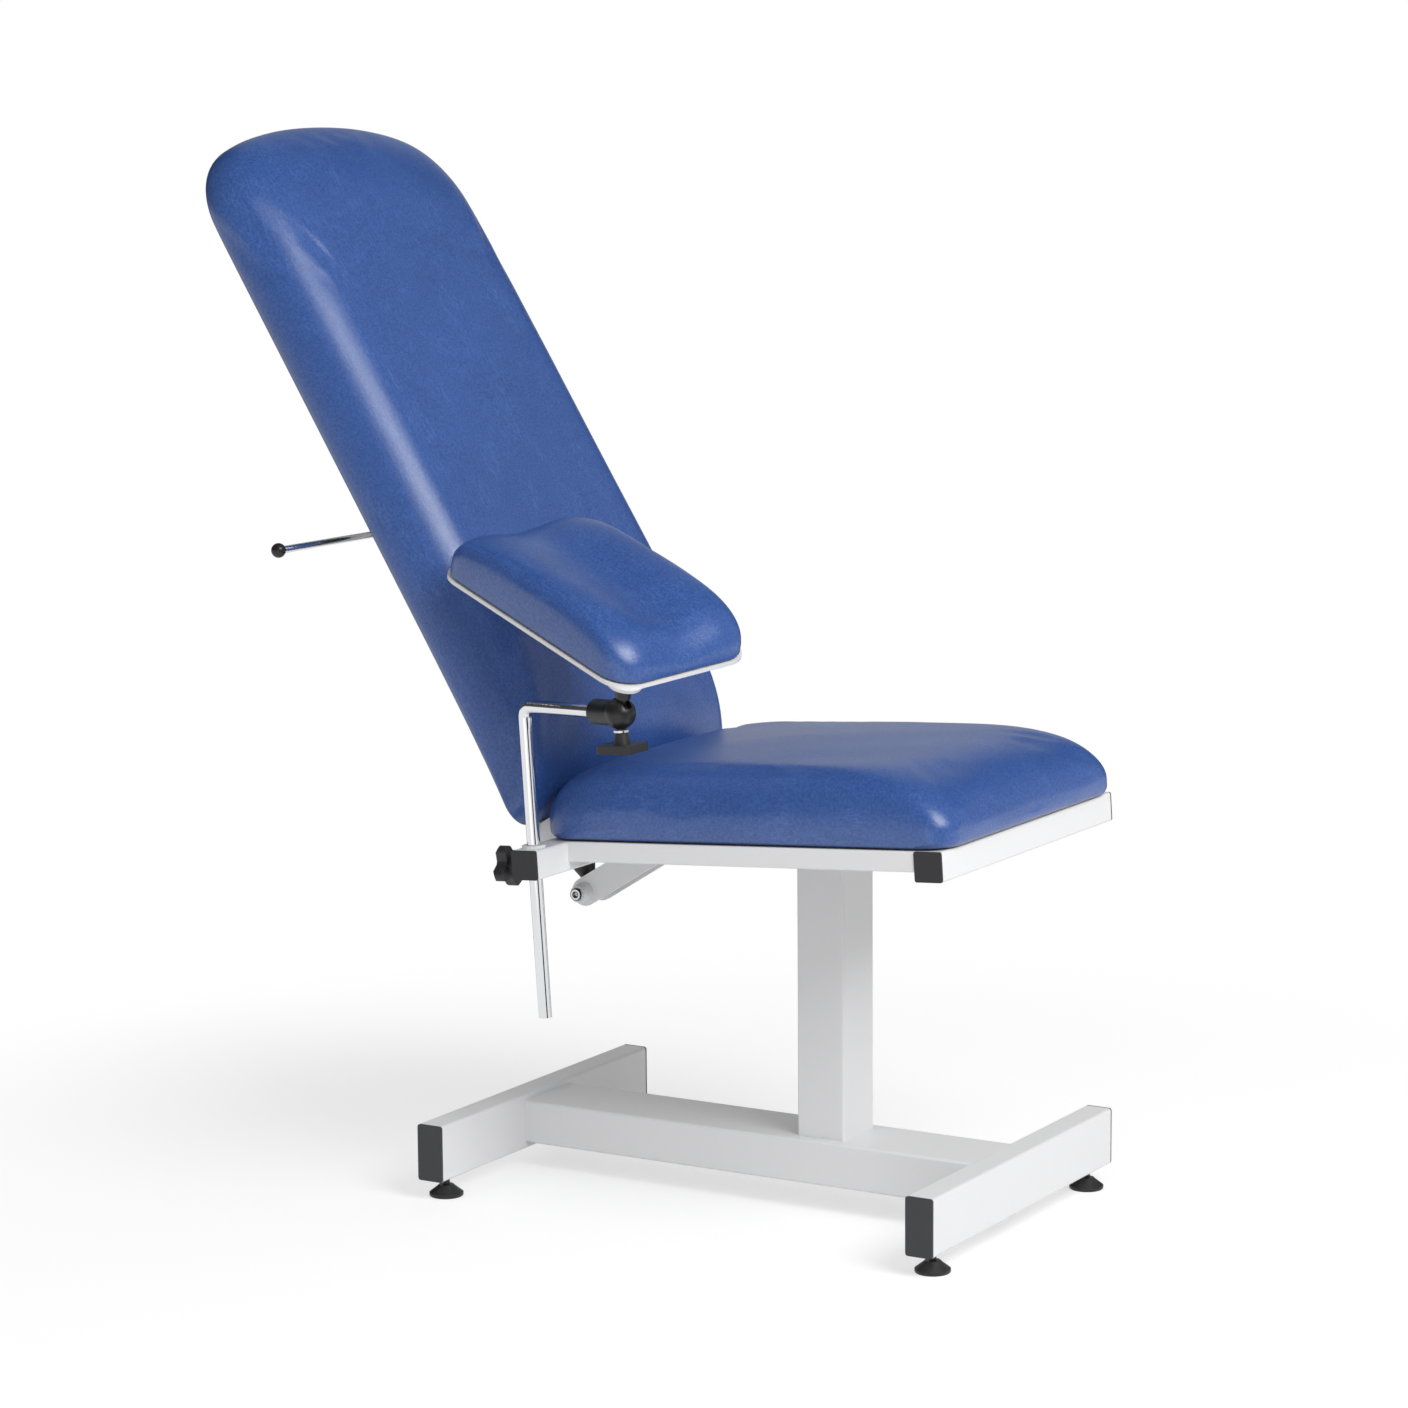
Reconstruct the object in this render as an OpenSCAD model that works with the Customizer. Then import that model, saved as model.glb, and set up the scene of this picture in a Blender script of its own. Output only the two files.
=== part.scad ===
// Phlebotomy chair: a padded seat and a reclining padded back on a powder
// coated steel frame, with one padded arm on a ball joint for taking blood.
// Millimetres. The origin is on the floor at the middle of the base, +Z is up,
// the chair faces -Y and its arm stands on the -X side.

/* [Base] */
// Length of each floor leg
leg_l = 548; // [460:1:640]
// Width of a floor leg
leg_w = 40; // [36:1:50]
// Height of a floor leg
leg_h = 80; // [76:1:95]
// Height of the legs' underside above the floor
leg_lift = 29; // [27:1:38]
// Distance between the middles of the two legs
leg_span = 767; // [680:1:860]
// Width of the beam between the legs
beam_w = 122; // [100:1:140]
// Height of the beam between the legs
beam_h = 62; // [50:1:66]
// Wall of the base tubes
base_wall = 3; // [2:0.5:4]
// Width of the column
column_w = 86; // [70:1:100]
// Depth of the column
column_d = 74; // [60:1:86]
// How far the column stands in front of the middle of the base
column_ahead = 110.6; // [80:1:140]
// Diameter of a foot
foot_d = 48; // [36:1:54]
// Distance from a leg's end to its foot
foot_inset = 39.6; // [34:0.2:60]

/* [Seat frame] */
// Height of the top of the front bar
seat_h = 562.2; // [520:1:620]
// Distance of the front bar's middle in front of the middle of the base
front_bar_ahead = 386.1; // [360:1:410]
// Upward tilt of the seat's front in degrees
seat_tilt = 3.67; // [2:0.1:6]
// Distance between the front bar and the rear tube, middle to middle
frame_l = 568.7; // [550:1:590]
// Length of the front bar with its caps
front_bar_l = 515; // [490:1:540]
// Length of the rear tube with its caps
rear_tube_l = 670; // [660:1:700]
// Side of the square front bar and rear tube
bar_side = 40; // [38:1:44]
// Width of a side rail
rail_w = 25; // [20:1:30]
// Height of a side rail
rail_h = 27.5; // [24:0.5:32]
// Wall of the seat frame's tubes
frame_wall = 2.5; // [2:0.5:3]

/* [Seat cushion] */
// Width of the seat cushion
seat_w = 514; // [490:1:530]
// Overhang of the seat cushion in front of the front bar
seat_overhang = 10; // [4:1:20]
// Height of the seat cushion at the middle of its crown
seat_t = 110; // [96:1:112]

/* [Back] */
// Lean of the back from upright in degrees
back_lean = 31.5; // [30:0.5:34]
// Length of the back cushion
back_l = 1066; // [1000:1:1120]
// Width of the back cushion
back_w = 518; // [500:1:530]
// Thickness of the back cushion at its crown
back_t = 112; // [100:1:116]
// Distance of the recline hinge behind the rear tube's middle
hinge_behind = 67.3; // [66:0.5:72]
// Height of the recline hinge above the seat frame
hinge_up = 14; // [13:0.5:16]
// Distance between the back's two side tubes, middle to middle
back_tube_span = 372; // [350:1:380]
// Side of the back's square tubes
back_tube = 25; // [22:1:26]

/* [Gas spring] */
// Distance of the spring's lower pin behind the rear tube's middle
anchor_behind = 107.3; // [104:0.1:110]
// Drop of the spring's lower pin below the seat frame's top
anchor_drop = 113; // [110:1:116]
// Distance up the back from the cushion's end to the spring's upper pin
spring_up = 448; // [440:1:456]
// Distance of the spring's upper pin behind the back's board
spring_behind = 45; // [43:0.5:48]
// Diameter of the spring's cylinder
cylinder_d = 28; // [22:1:28]
// Diameter of the spring's rod
spring_rod_d = 10; // [8:0.5:12]
// Reach of the release lever to the middle of its ball
lever_reach = 409; // [390:1:430]
// Diameter of the release lever
lever_d = 10; // [8:0.5:11]
// Diameter of the release lever's ball
lever_ball_d = 20; // [16:1:26]

/* [Arm] */
// Distance of the arm rod from the chair's middle
arm_out = 308; // [304:0.5:310]
// Diameter of the arm rod
arm_rod_d = 18; // [16:0.5:20]
// Height of the rod's arm above the seat frame
arm_up = 192.5; // [184:0.5:200]
// Depth of the rod's lower end below the seat frame
arm_down = 232; // [200:1:250]
// Length of the rod's arm to the middle of the ball joint
arm_l = 202; // [190:1:215]
// Outward turn of the rod's arm in degrees
arm_yaw = 18.7; // [14:0.5:22]
// Diameter of the ball joint's round housing
housing_d = 42; // [40:0.5:46]
// Diameter of the ball
ball_d = 27; // [25:0.5:28]
// Roll of the ball joint's clamp about the rod's arm in degrees
clamp_roll = 0; // [-4:1:10]
// Diameter of the cross knob that clamps the rod
cross_knob_d = 62; // [54:1:66]
// Side of the square knob that clamps the ball
ball_knob_side = 52; // [44:1:56]

/* [Arm pad] */
// Length of the arm pad
pad_l = 384; // [370:1:390]
// Width of the arm pad
pad_w = 237; // [228:1:240]
// Height of the arm pad's two ridges
pad_t = 70; // [64:1:72]
// Depth of the trough between the ridges
trough_depth = 12; // [8:1:15]
// Distance from each long edge to the top of its ridge
ridge_inset = 36; // [30:1:40]
// Thickness of the pad's board
pad_board_t = 5; // [4:0.5:6]
// Height of the pad's board above the middle of the ball
pad_up = 46; // [45:0.5:50]
// Turn of the pad towards the outside in degrees
pad_yaw = 15.4; // [13:0.1:17]
// Fall of the pad towards the front in degrees
pad_pitch = 19.5; // [18:0.1:21]
// Fall of the pad towards the outside in degrees
pad_roll = 5.8; // [4:0.1:7]
// Distance of the stem from the pad's outer edge
stem_inset = 31; // [28:0.5:34]
// Distance of the stem from the pad's front end
stem_behind = 24; // [22:0.5:28]

/* [Hidden] */

// Finish colours
white_paint = [0.93, 0.93, 0.92];
black_plastic = [0.14, 0.14, 0.15];
blue_leatherette = [0.23, 0.33, 0.62];
bright_steel = [0.75, 0.76, 0.78];
plywood = [0.74, 0.58, 0.40];

// Roundness of circles, and of circles inside hulls
$fn = 48;
hull_fn = 32;
// One overrun serves every cut
over = 1;
// Clearance between pieces that only lie beside each other
seat_gap = 0.3;
// Radial clearance of a shaft that turns or slides in its bore
running = 0.05;
// Radial clearance of a bolt in its hole
bolt_gap = 0.3;

// Base
tube_r = 4;
beam_drop = 8.4;
cap_t = 3;
cap_plug = 12;
cap_gap = 0.2;
foot_h = 16;
foot_rim_h = 5;
foot_top_d = 26;
foot_stem_d = 10;
foot_nut_d = 18;
foot_nut_h = 12;
foot_travel = 8;
leg_top = leg_lift + leg_h;
beam_top = leg_top - beam_drop;
beam_mid_z = beam_top - beam_h / 2;
foot_stem_top = leg_lift + base_wall + foot_nut_h + foot_travel;

// Seat frame
rail_inset = 1.2;
bar_r = 3;
rail_r = 2;
rail_x = front_bar_l / 2 - rail_inset - rail_w / 2;
rail_l = frame_l - bar_side;
crossbar_w = 30;
crossbar_l = 2 * rail_x - rail_w;
head_bolt_x = 55;
head_pitch = 124;
head_t = 6;
head_w = 150;
head_margin = 20;
head_bolt_d = 8;
head_key = 13;
head_bolt_h = 5.3;
head_nut_h = 6.5;
head_bolt_out = 5;
head_y = (front_bar_ahead - column_ahead + (rail_h + head_t) * sin(seat_tilt)) / cos(seat_tilt);
rear_crossbar_gap = 50;
rear_crossbar_y = frame_l - bar_side / 2 - rear_crossbar_gap;

// Seat cushion
seat_board_t = 15;
seat_board_inset = 19;
seat_board_r = 40;
pocket_gap = 0.3;
seat_crown = 9;
seat_tuck = 12;
seat_side_round = 50;
seat_front_round = 140;
seat_rear_round = 76;
seat_side_fall = 55;
seat_front_fall = 75;
seat_rear_fall = 65;
seat_corner_r = 40;
seat_front_y = -bar_side / 2 - seat_overhang;
seat_rear_gap = 43.5;
seat_rear_y = frame_l + hinge_behind - seat_rear_gap;
least_r = 5;

// Back
back_round = 45;
back_edge_r = 8;
back_low_reach = 250;
back_low_fall = 106;
back_high_reach = 160;
back_high_fall = 50;
back_corner_r = 104;
back_top_r = 800;
back_foot_r = 35;
back_crown = 3;
back_board_t = 12;
back_board_inset = 28;
back_board_r = 60;
lean_rel = back_lean - seat_tilt;
hinge_seat = [0, frame_l + hinge_behind, hinge_up];
hinge_below = 2.4;
back_tube_wall = 2;
back_tube_r = 2;
back_tube_x = back_tube_span / 2;
back_tube_low = 14;
back_tube_high = 150;
back_crossbar_l = back_tube_span - back_tube;
lower_crossbar_u = 120;
spring_crossbar_u = 400;
upper_crossbar_u = 860;
hinge_bolt_d = 10;
hinge_bush_d = 14;
hinge_plate_t = 5;
hinge_plate_gap = 0.5;
hinge_plate_r = 10.5;
hinge_key = 17;
hinge_nut_h = 8;
hinge_head_h = 6.4;
hinge_plate_low = 2;
hinge_plate_clear = 1.6;
hinge_plate_ahead = 4;
hinge_out_x = back_tube_x + back_tube / 2 + hinge_plate_gap;
hinge_in_x = back_tube_x - back_tube / 2 - hinge_plate_gap;

// Gas spring
anchor_seat = [0, frame_l + anchor_behind, -anchor_drop];
anchor_r = 20;
anchor_in = 19.5;
anchor_t = 6;
anchor_boss_d = 30;
anchor_boss = 18;
anchor_bolt_d = 10;
anchor_head_d = 20;
anchor_head_h = 6;
anchor_nut_h = 8;
anchor_key = 17;
anchor_rise = 28;
eye_r = 12;
eye_gap = 0.5;
boot_low_d = 17;
boot_high_d = 35;
boot_low = 15;
boot_high = 39;
boot_lip = 6;
cylinder_top = 398;
cylinder_wall = 2;
cylinder_floor = 46;
cylinder_guide = 12;
piston_h = 14;
spring_rod_low = 366;
pin_d = 8;
pin_offset_y = -6;
pin_offset_z = 3.1;
pin_play = 6.9;
ear_t = 5;
ear_r = 11;
ear_gap = 0.5;
ear_foot = 23;
head_half_w = 13;
head_half_y = 16;
head_low = 15;
head_high = 38;
head_lever_z = 24;
tongue_t = 6;
tongue_gap = 0.3;
tongue_low_gap = 1.6;
tongue_half_h = 6;
lever_pin_d = 5;
lever_start = 22;
spring_pin_seat = back_point(spring_up, -spring_behind);
spring_vec = spring_pin_seat - anchor_seat;
spring_l = norm(spring_vec);
spring_lean = atan2(spring_vec[1], spring_vec[2]);

// Arm
bush_d = 24;
bush_flange_d = 32;
bush_flange_t = 4;
arm_bend_r = 16;
knob_drop = 25.5;
knob_stud_d = 8;
knob_t = 17;
knob_hub_d = 26;
knob_hub_l = 14;
knob_lobe_d = 17;
knob_gap = 0.5;
knob_turn = -25;
socket_d = 34;
socket_end = 52;
socket_start = 8;
socket_floor = 23;
socket_lip = 3;
clamp_neck_top_d = 17;
clamp_neck_d = 22;
clamp_neck_l = 15;
clamp_ring_d = 21;
clamp_ring_t = 3;
clamp_stud_d = 8;
ball_knob_t = 11;
ball_knob_chamfer = 4;
ball_knob_edge = 2;
stem_neck_d = 12;
stem_slot_back = 20;
stem_slot_ahead = 8;
collar_d = 23;
collar_low_d = 20;
collar_low = 23;
flange_d = 50;
flange_t = 6;
spigot_d = 12;

// Arm pad
pad_board_r = 40;
pad_line = 0.3;
pad_inset = 1.5;
pad_corner_r = 42;
pad_side_fall = 18;
pad_near_round = 135;
pad_near_fall = 65;
pad_far_round = 105;
pad_far_fall = 56;
pad_tuck = 3;

// Points that several pieces share
arm_foot_seat = [-arm_out, frame_l, 0];
ball_seat = [-arm_out - arm_l * sin(arm_yaw), frame_l - arm_l * cos(arm_yaw), arm_up];

// A point up the back and in front of its board, in the seat frame's own axes
function back_point(up, ahead) = hinge_seat
    + (up - hinge_below) * [0, sin(lean_rel), cos(lean_rel)]
    + (ahead + back_tube / 2) * [0, -cos(lean_rel), sin(lean_rel)];

// Points of an arc from one angle to another, with both ends
function arc(centre, r, from, to, n) =
    [for (i = [0:n]) centre + r * [cos(from + (to - from) * i / n), sin(from + (to - from) * i / n)]];

// A row of points without its two ends
function inner(points) = [for (i = [1:len(points) - 2]) points[i]];

// Points between two places, without the places themselves
function between(a, b, n) = [for (i = [1:n - 1]) a + (b - a) * i / n];

// A rounded rectangle, anticlockwise from the middle of its near side.
// radii are those of the corners at (x1, y0), (x1, y1), (x0, y1) and (x0, y0).
function rounded_loop(x0, x1, y0, y1, radii, nx, ny, na) = concat(
    between([x0 + radii[3], y0], [x1 - radii[0], y0], nx),
    arc([x1 - radii[0], y0 + radii[0]], radii[0], -90, 0, na),
    between([x1, y0 + radii[0]], [x1, y1 - radii[1]], ny),
    arc([x1 - radii[1], y1 - radii[1]], radii[1], 0, 90, na),
    between([x1 - radii[1], y1], [x0 + radii[2], y1], nx),
    arc([x0 + radii[2], y1 - radii[2]], radii[2], 90, 180, na),
    between([x0, y1 - radii[2]], [x0, y0 + radii[3]], ny),
    arc([x0 + radii[3], y0 + radii[3]], radii[3], 180, 270, na));

// The back's outline: straight sides under a flat arch with round shoulders
function arch_loop(half, low, high, shoulder_r, top_r, foot_r) =
    let (rise = sqrt(pow(top_r - shoulder_r, 2) - pow(half - shoulder_r, 2)),
         shoulder_y = high - top_r + rise,
         turn = atan2(rise, half - shoulder_r))
    concat(
        between([-half + foot_r, low], [half - foot_r, low], 5),
        arc([half - foot_r, low + foot_r], foot_r, -90, 0, 3),
        between([half, low + foot_r], [half, shoulder_y], 7),
        arc([half - shoulder_r, shoulder_y], shoulder_r, 0, turn, 5),
        inner(arc([0, high - top_r], top_r, turn, 180 - turn, 9)),
        arc([-half + shoulder_r, shoulder_y], shoulder_r, 180 - turn, 180, 5),
        between([-half, shoulder_y], [-half, low + foot_r], 7),
        arc([-half + foot_r, low + foot_r], foot_r, 180, 270, 3));

// Share of a fall that is left at a distance from an edge
function fade(distance, reach) = pow(max(1 - max(distance, 0) / reach, 0), 2);

// Closed skin over rings of equal count, from the bottom ring to the top one
module ring_skin(rings, bottom, top) {
    n = len(rings[0]);
    m = len(rings);
    points = concat([for (ring = rings) each ring], [bottom, top]);
    faces = concat(
        [for (i = [0:n - 1]) [i, (i + 1) % n, m * n]],
        [for (j = [0:m - 2], i = [0:n - 1]) each [
            [j * n + i, (j + 1) * n + i, (j + 1) * n + (i + 1) % n],
            [j * n + i, (j + 1) * n + (i + 1) % n, j * n + (i + 1) % n]]],
        [for (i = [0:n - 1]) [(m - 1) * n + (i + 1) % n, (m - 1) * n + i, m * n + 1]]);
    polyhedron(points = points, faces = faces, convexity = 4);
}

// Section of a tube or plate with rounded corners
module rounded_rect(w, h, r) {
    square([w - 2 * r, h], center = true);
    square([w, h - 2 * r], center = true);
    for (x = [-1, 1], y = [-1, 1])
        translate([x * (w / 2 - r), y * (h / 2 - r)]) circle(r = r);
}

// Hollow tube from the origin along +Z
module tube(length, w, h, wall, r) {
    linear_extrude(length) difference() {
        rounded_rect(w, h, r);
        square([w - 2 * wall, h - 2 * wall], center = true);
    }
}

// Tube along X about the origin: w lies along Y and h along Z
module tube_x(length, w, h, wall, r) {
    translate([-length / 2, 0, 0]) rotate([90, 0, 90]) tube(length, w, h, wall, r);
}

// Plug for a tube's end: its plate starts at z = 0 and its skirt hangs below
module tube_plug(w, h, wall, r) {
    skirt_w = w - 2 * (wall + cap_gap);
    skirt_h = h - 2 * (wall + cap_gap);
    linear_extrude(cap_t) rounded_rect(w, h, r);
    translate([0, 0, -cap_plug]) linear_extrude(cap_plug) difference() {
        square([skirt_w, skirt_h], center = true);
        square([skirt_w - 2 * wall, skirt_h - 2 * wall], center = true);
    }
}

// Hexagon bar from the origin along +Z, by its width across flats
module hexagon(across, h) {
    cylinder(d = across / cos(30), h = h, $fn = 6);
}

// Cylinder along X about the origin
module shaft_x(d, length) {
    rotate([0, 90, 0]) cylinder(d = d, h = length, center = true);
}

// Places in the seat frame, on the back, along the spring, on the arm and on the pad
module on_seat() {
    translate([0, -front_bar_ahead, seat_h]) rotate([-seat_tilt, 0, 0]) children();
}

module on_back() {
    on_seat() translate(hinge_seat) rotate([90 - lean_rel, 0, 0])
        translate([0, -hinge_below, back_tube / 2]) children();
}

module on_spring() {
    on_seat() translate(anchor_seat) rotate([-spring_lean, 0, 0]) children();
}

module on_rod() {
    on_seat() translate(arm_foot_seat) rotate([0, 0, -arm_yaw]) children();
}

module on_ball() {
    on_seat() translate(ball_seat) rotate([0, 0, -arm_yaw]) rotate([0, clamp_roll, 0]) children();
}

module on_pad() {
    translate([ball_seat[0],
        -front_bar_ahead + ball_seat[1] * cos(seat_tilt) + ball_seat[2] * sin(seat_tilt),
        seat_h - ball_seat[1] * sin(seat_tilt) + ball_seat[2] * cos(seat_tilt)])
        rotate([0, 0, -pad_yaw]) rotate([pad_pitch, 0, 0]) rotate([0, -pad_roll, 0]) children();
}

// Both sides of the chair
module each_side() {
    children();
    mirror([1, 0, 0]) children();
}

module each_foot() {
    for (x = [-1, 1], y = [-1, 1])
        translate([x * (leg_l / 2 - foot_inset), y * leg_span / 2, 0]) children();
}

// Floor leg: a closed tube with two threaded nuts above its underside
module leg() {
    difference() {
        translate([0, 0, leg_lift + leg_h / 2])
            tube_x(leg_l - 2 * cap_t, leg_w, leg_h, base_wall, tube_r);
        for (x = [-1, 1])
            translate([x * (leg_l / 2 - foot_inset), 0, leg_lift - over])
                cylinder(d = foot_stem_d + 2 * bolt_gap, h = base_wall + 2 * over);
    }
}

module front_leg() {
    color(white_paint) translate([0, -leg_span / 2, 0]) leg();
}

module rear_leg() {
    color(white_paint) translate([0, leg_span / 2, 0]) leg();
}

module leg_caps() {
    color(black_plastic)
        for (x = [-1, 1], y = [-1, 1])
            translate([x * (leg_l / 2 - cap_t), y * leg_span / 2, leg_lift + leg_h / 2])
                rotate([90, 0, 90]) rotate([0, 90 - 90 * x, 0])
                    tube_plug(leg_w, leg_h, base_wall, tube_r);
}

module foot_nuts() {
    color(bright_steel) each_foot()
        translate([0, 0, leg_lift + base_wall]) difference() {
            hexagon(foot_nut_d, foot_nut_h);
            translate([0, 0, -over])
                cylinder(r = foot_stem_d / 2 + running, h = foot_nut_h + 2 * over);
        }
}

// Levelling foot: a bell of plastic moulded round a threaded stem
module foot(x, y) {
    translate([x * (leg_l / 2 - foot_inset), y * leg_span / 2, 0]) {
        color(black_plastic) rotate_extrude() polygon([
            [foot_stem_d / 2, 0], [foot_d / 2 - foot_rim_h / 4, 0], [foot_d / 2, foot_rim_h / 4],
            [foot_d / 2, foot_rim_h], [foot_top_d / 2, foot_h - foot_rim_h / 2],
            [foot_top_d / 2 - foot_rim_h / 2, foot_h], [foot_stem_d / 2, foot_h]]);
        color(bright_steel) cylinder(d = foot_stem_d, h = foot_stem_top);
    }
}

module foot_front_right() {
    foot(-1, -1);
}

module foot_front_left() {
    foot(1, -1);
}

module foot_rear_right() {
    foot(-1, 1);
}

module foot_rear_left() {
    foot(1, 1);
}

module base_beam() {
    color(white_paint) translate([0, -leg_span / 2 + leg_w / 2, beam_mid_z]) rotate([-90, 0, 0])
        tube(leg_span - leg_w, beam_w, beam_h, base_wall, tube_r);
}

// The column stands upright on the beam and is cut to the slope of the seat frame
module column() {
    color(white_paint) difference() {
        translate([0, -column_ahead, beam_top])
            tube(seat_h - beam_top, column_w, column_d, base_wall, tube_r);
        on_seat() translate([-head_w, head_y - head_w, -rail_h - head_t])
            cube([2 * head_w, 2 * head_w, 2 * head_w]);
    }
}

module at_head_bolts() {
    for (x = [-1, 1], y = [-1, 1])
        on_seat() translate([x * head_bolt_x, head_y + y * head_pitch / 2, 0]) children();
}

module column_head() {
    color(white_paint) difference() {
        on_seat() translate([0, head_y, -rail_h - head_t]) linear_extrude(head_t)
            rounded_rect(head_w, head_pitch + 2 * head_margin, head_margin / 2);
        at_head_bolts() translate([0, 0, -rail_h - head_t - over])
            cylinder(d = head_bolt_d + 2 * bolt_gap, h = head_t + 2 * over);
    }
}

module head_bolts() {
    color(bright_steel) at_head_bolts() translate([0, 0, -rail_h - head_t]) {
        translate([0, 0, -head_bolt_h]) hexagon(head_key, head_bolt_h);
        cylinder(d = head_bolt_d, h = head_t + frame_wall + head_nut_h + head_bolt_out);
    }
}

module head_nuts() {
    color(bright_steel) at_head_bolts() translate([0, 0, -rail_h + frame_wall]) difference() {
        hexagon(head_key, head_nut_h);
        translate([0, 0, -over]) cylinder(r = head_bolt_d / 2 + running, h = head_nut_h + 2 * over);
    }
}

module front_bar() {
    color(white_paint) on_seat() translate([0, 0, -bar_side / 2])
        tube_x(front_bar_l - 2 * cap_t, bar_side, bar_side, frame_wall, bar_r);
}

module bar_caps(length) {
    for (x = [-1, 1])
        translate([x * (length / 2 - cap_t), 0, -bar_side / 2])
            rotate([90, 0, 90]) rotate([0, 90 - 90 * x, 0])
                tube_plug(bar_side, bar_side, frame_wall, bar_r);
}

module front_bar_caps() {
    color(black_plastic) on_seat() bar_caps(front_bar_l);
}

module rail() {
    on_seat() translate([0, bar_side / 2, -rail_h / 2]) rotate([-90, 0, 0])
        tube(rail_l, rail_w, rail_h, frame_wall, rail_r);
}

module right_rail() {
    color(white_paint) translate([-rail_x, 0, 0]) rail();
}

module left_rail() {
    color(white_paint) translate([rail_x, 0, 0]) rail();
}

module crossbar(y) {
    on_seat() translate([0, y, -rail_h / 2])
        tube_x(crossbar_l, crossbar_w, rail_h, frame_wall, rail_r);
}

module head_crossbar(side) {
    difference() {
        crossbar(head_y + side * head_pitch / 2);
        at_head_bolts() translate([0, 0, -rail_h - over])
            cylinder(d = head_bolt_d + 2 * bolt_gap, h = frame_wall + 2 * over);
    }
}

module front_crossbar() {
    color(white_paint) head_crossbar(-1);
}

module middle_crossbar() {
    color(white_paint) head_crossbar(1);
}

module rear_crossbar() {
    color(white_paint) crossbar(rear_crossbar_y);
}

// The rear tube is bored upright for an arm bush at each end, and tapped for a clamp
module rear_tube() {
    color(white_paint) on_seat() translate([0, frame_l, 0]) difference() {
        translate([0, 0, -bar_side / 2])
            tube_x(rear_tube_l - 2 * cap_t, bar_side, bar_side, frame_wall, bar_r);
        for (x = [-1, 1]) translate([x * arm_out, 0, 0]) {
            translate([0, 0, -bar_side - over])
                cylinder(r = bush_d / 2 + running, h = bar_side + 2 * over);
            translate([0, bar_side / 2 - frame_wall - over, -knob_drop]) rotate([-90, 0, 0])
                cylinder(r = knob_stud_d / 2 + running, h = frame_wall + 2 * over);
        }
    }
}

module rear_tube_caps() {
    color(black_plastic) on_seat() translate([0, frame_l, 0]) bar_caps(rear_tube_l);
}

// Flanged bush that lines the rear tube for the arm rod
module arm_bush() {
    difference() {
        union() {
            translate([0, 0, -bar_side]) cylinder(d = bush_d, h = bar_side);
            cylinder(d = bush_flange_d, h = bush_flange_t);
        }
        translate([0, 0, -bar_side - over])
            cylinder(r = arm_rod_d / 2 + running, h = bar_side + bush_flange_t + 2 * over);
    }
}

module left_arm_bush() {
    color(white_paint) on_seat() translate([arm_out, frame_l, 0]) arm_bush();
}

module seat_board_shape(grow, h) {
    half = seat_w / 2 - seat_board_inset;
    front = seat_front_y + seat_board_inset;
    rear = seat_rear_y - seat_board_inset;
    translate([0, (front + rear) / 2, 0]) linear_extrude(h)
        rounded_rect(2 * half + 2 * grow, rear - front + 2 * grow, seat_board_r);
}

module seat_board() {
    color(plywood) on_seat() seat_board_shape(0, seat_board_t);
}

// Share of the edge falls that belongs to the seat's front and rear at a point
function seat_fall(y) = seat_side_fall
    + (seat_front_fall - seat_side_fall) * fade(y - seat_front_y, 1.25 * seat_front_round)
    + (seat_rear_fall - seat_side_fall) * fade(seat_rear_y - y, 1.4 * seat_rear_round);

function seat_loop(side, front, rear, r) = rounded_loop(
    -seat_w / 2 + side, seat_w / 2 - side, seat_front_y + front, seat_rear_y - rear,
    [r, r, r, r], 6, 8, 4);

function seat_ring(turn) =
    let (in = 1 - cos(turn), top = seat_t - seat_crown)
    [for (p = seat_loop(seat_side_round * in, seat_front_round * in, seat_rear_round * in,
            seat_corner_r - (seat_corner_r - 2 * least_r) * in))
        [p[0], p[1], top - seat_fall(p[1]) * (1 - sin(turn))]];

function seat_crown_ring(share) =
    let (middle = [0, (seat_front_y + seat_rear_y) / 2])
    [for (p = seat_ring(90))
        [p[0] * share, middle[1] + (p[1] - middle[1]) * share,
            seat_t - seat_crown + seat_crown * (1 - share * share)]];

module seat_form() {
    tucks = [for (turn = [0:45:90])
        [for (p = seat_loop(seat_tuck * (1 - sin(turn)), seat_tuck * (1 - sin(turn)),
                seat_tuck * (1 - sin(turn)), seat_corner_r))
            [p[0], p[1], seat_gap + seat_tuck * (1 - cos(turn))]]];
    rolls = [for (turn = [0:11.25:90]) seat_ring(turn)];
    crowns = [for (share = [0.75, 0.5, 0.25]) seat_crown_ring(share)];
    middle = (seat_front_y + seat_rear_y) / 2;
    ring_skin(concat(tucks, rolls, crowns), [0, middle, seat_gap], [0, middle, seat_t]);
}

module seat_cushion() {
    color(blue_leatherette) on_seat() difference() {
        seat_form();
        translate([0, 0, -over]) seat_board_shape(pocket_gap, seat_board_t + pocket_gap + over);
    }
}

// Hinge plate: it climbs behind the rear tube, under the back cushion's end, to the recline bolt
module hinge_plate() {
    up = [sin(lean_rel), cos(lean_rel)];
    ahead = [-cos(lean_rel), sin(lean_rel)];
    bolt = [hinge_behind, hinge_up];
    behind = bar_side / 2;
    under = bolt + hinge_plate_r * ahead - (hinge_below + hinge_plate_clear) * up;
    front = hinge_behind - seat_rear_gap + hinge_plate_ahead;
    translate([0, frame_l, 0]) rotate([90, 0, 90]) linear_extrude(hinge_plate_t) difference() {
        union() {
            polygon([
                [behind, -bar_side + hinge_plate_low],
                [hinge_behind - hinge_plate_r, -bar_side / 2],
                bolt + hinge_plate_r * [sin(45), -cos(45)],
                bolt + hinge_plate_r * ahead,
                under,
                under + (under[0] - front) / cos(lean_rel) * ahead,
                [front, -hinge_plate_low],
                [behind, -hinge_plate_low]]);
            translate(bolt) circle(r = hinge_plate_r);
        }
        translate(bolt) circle(d = hinge_bolt_d + 2 * running);
    }
}

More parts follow.
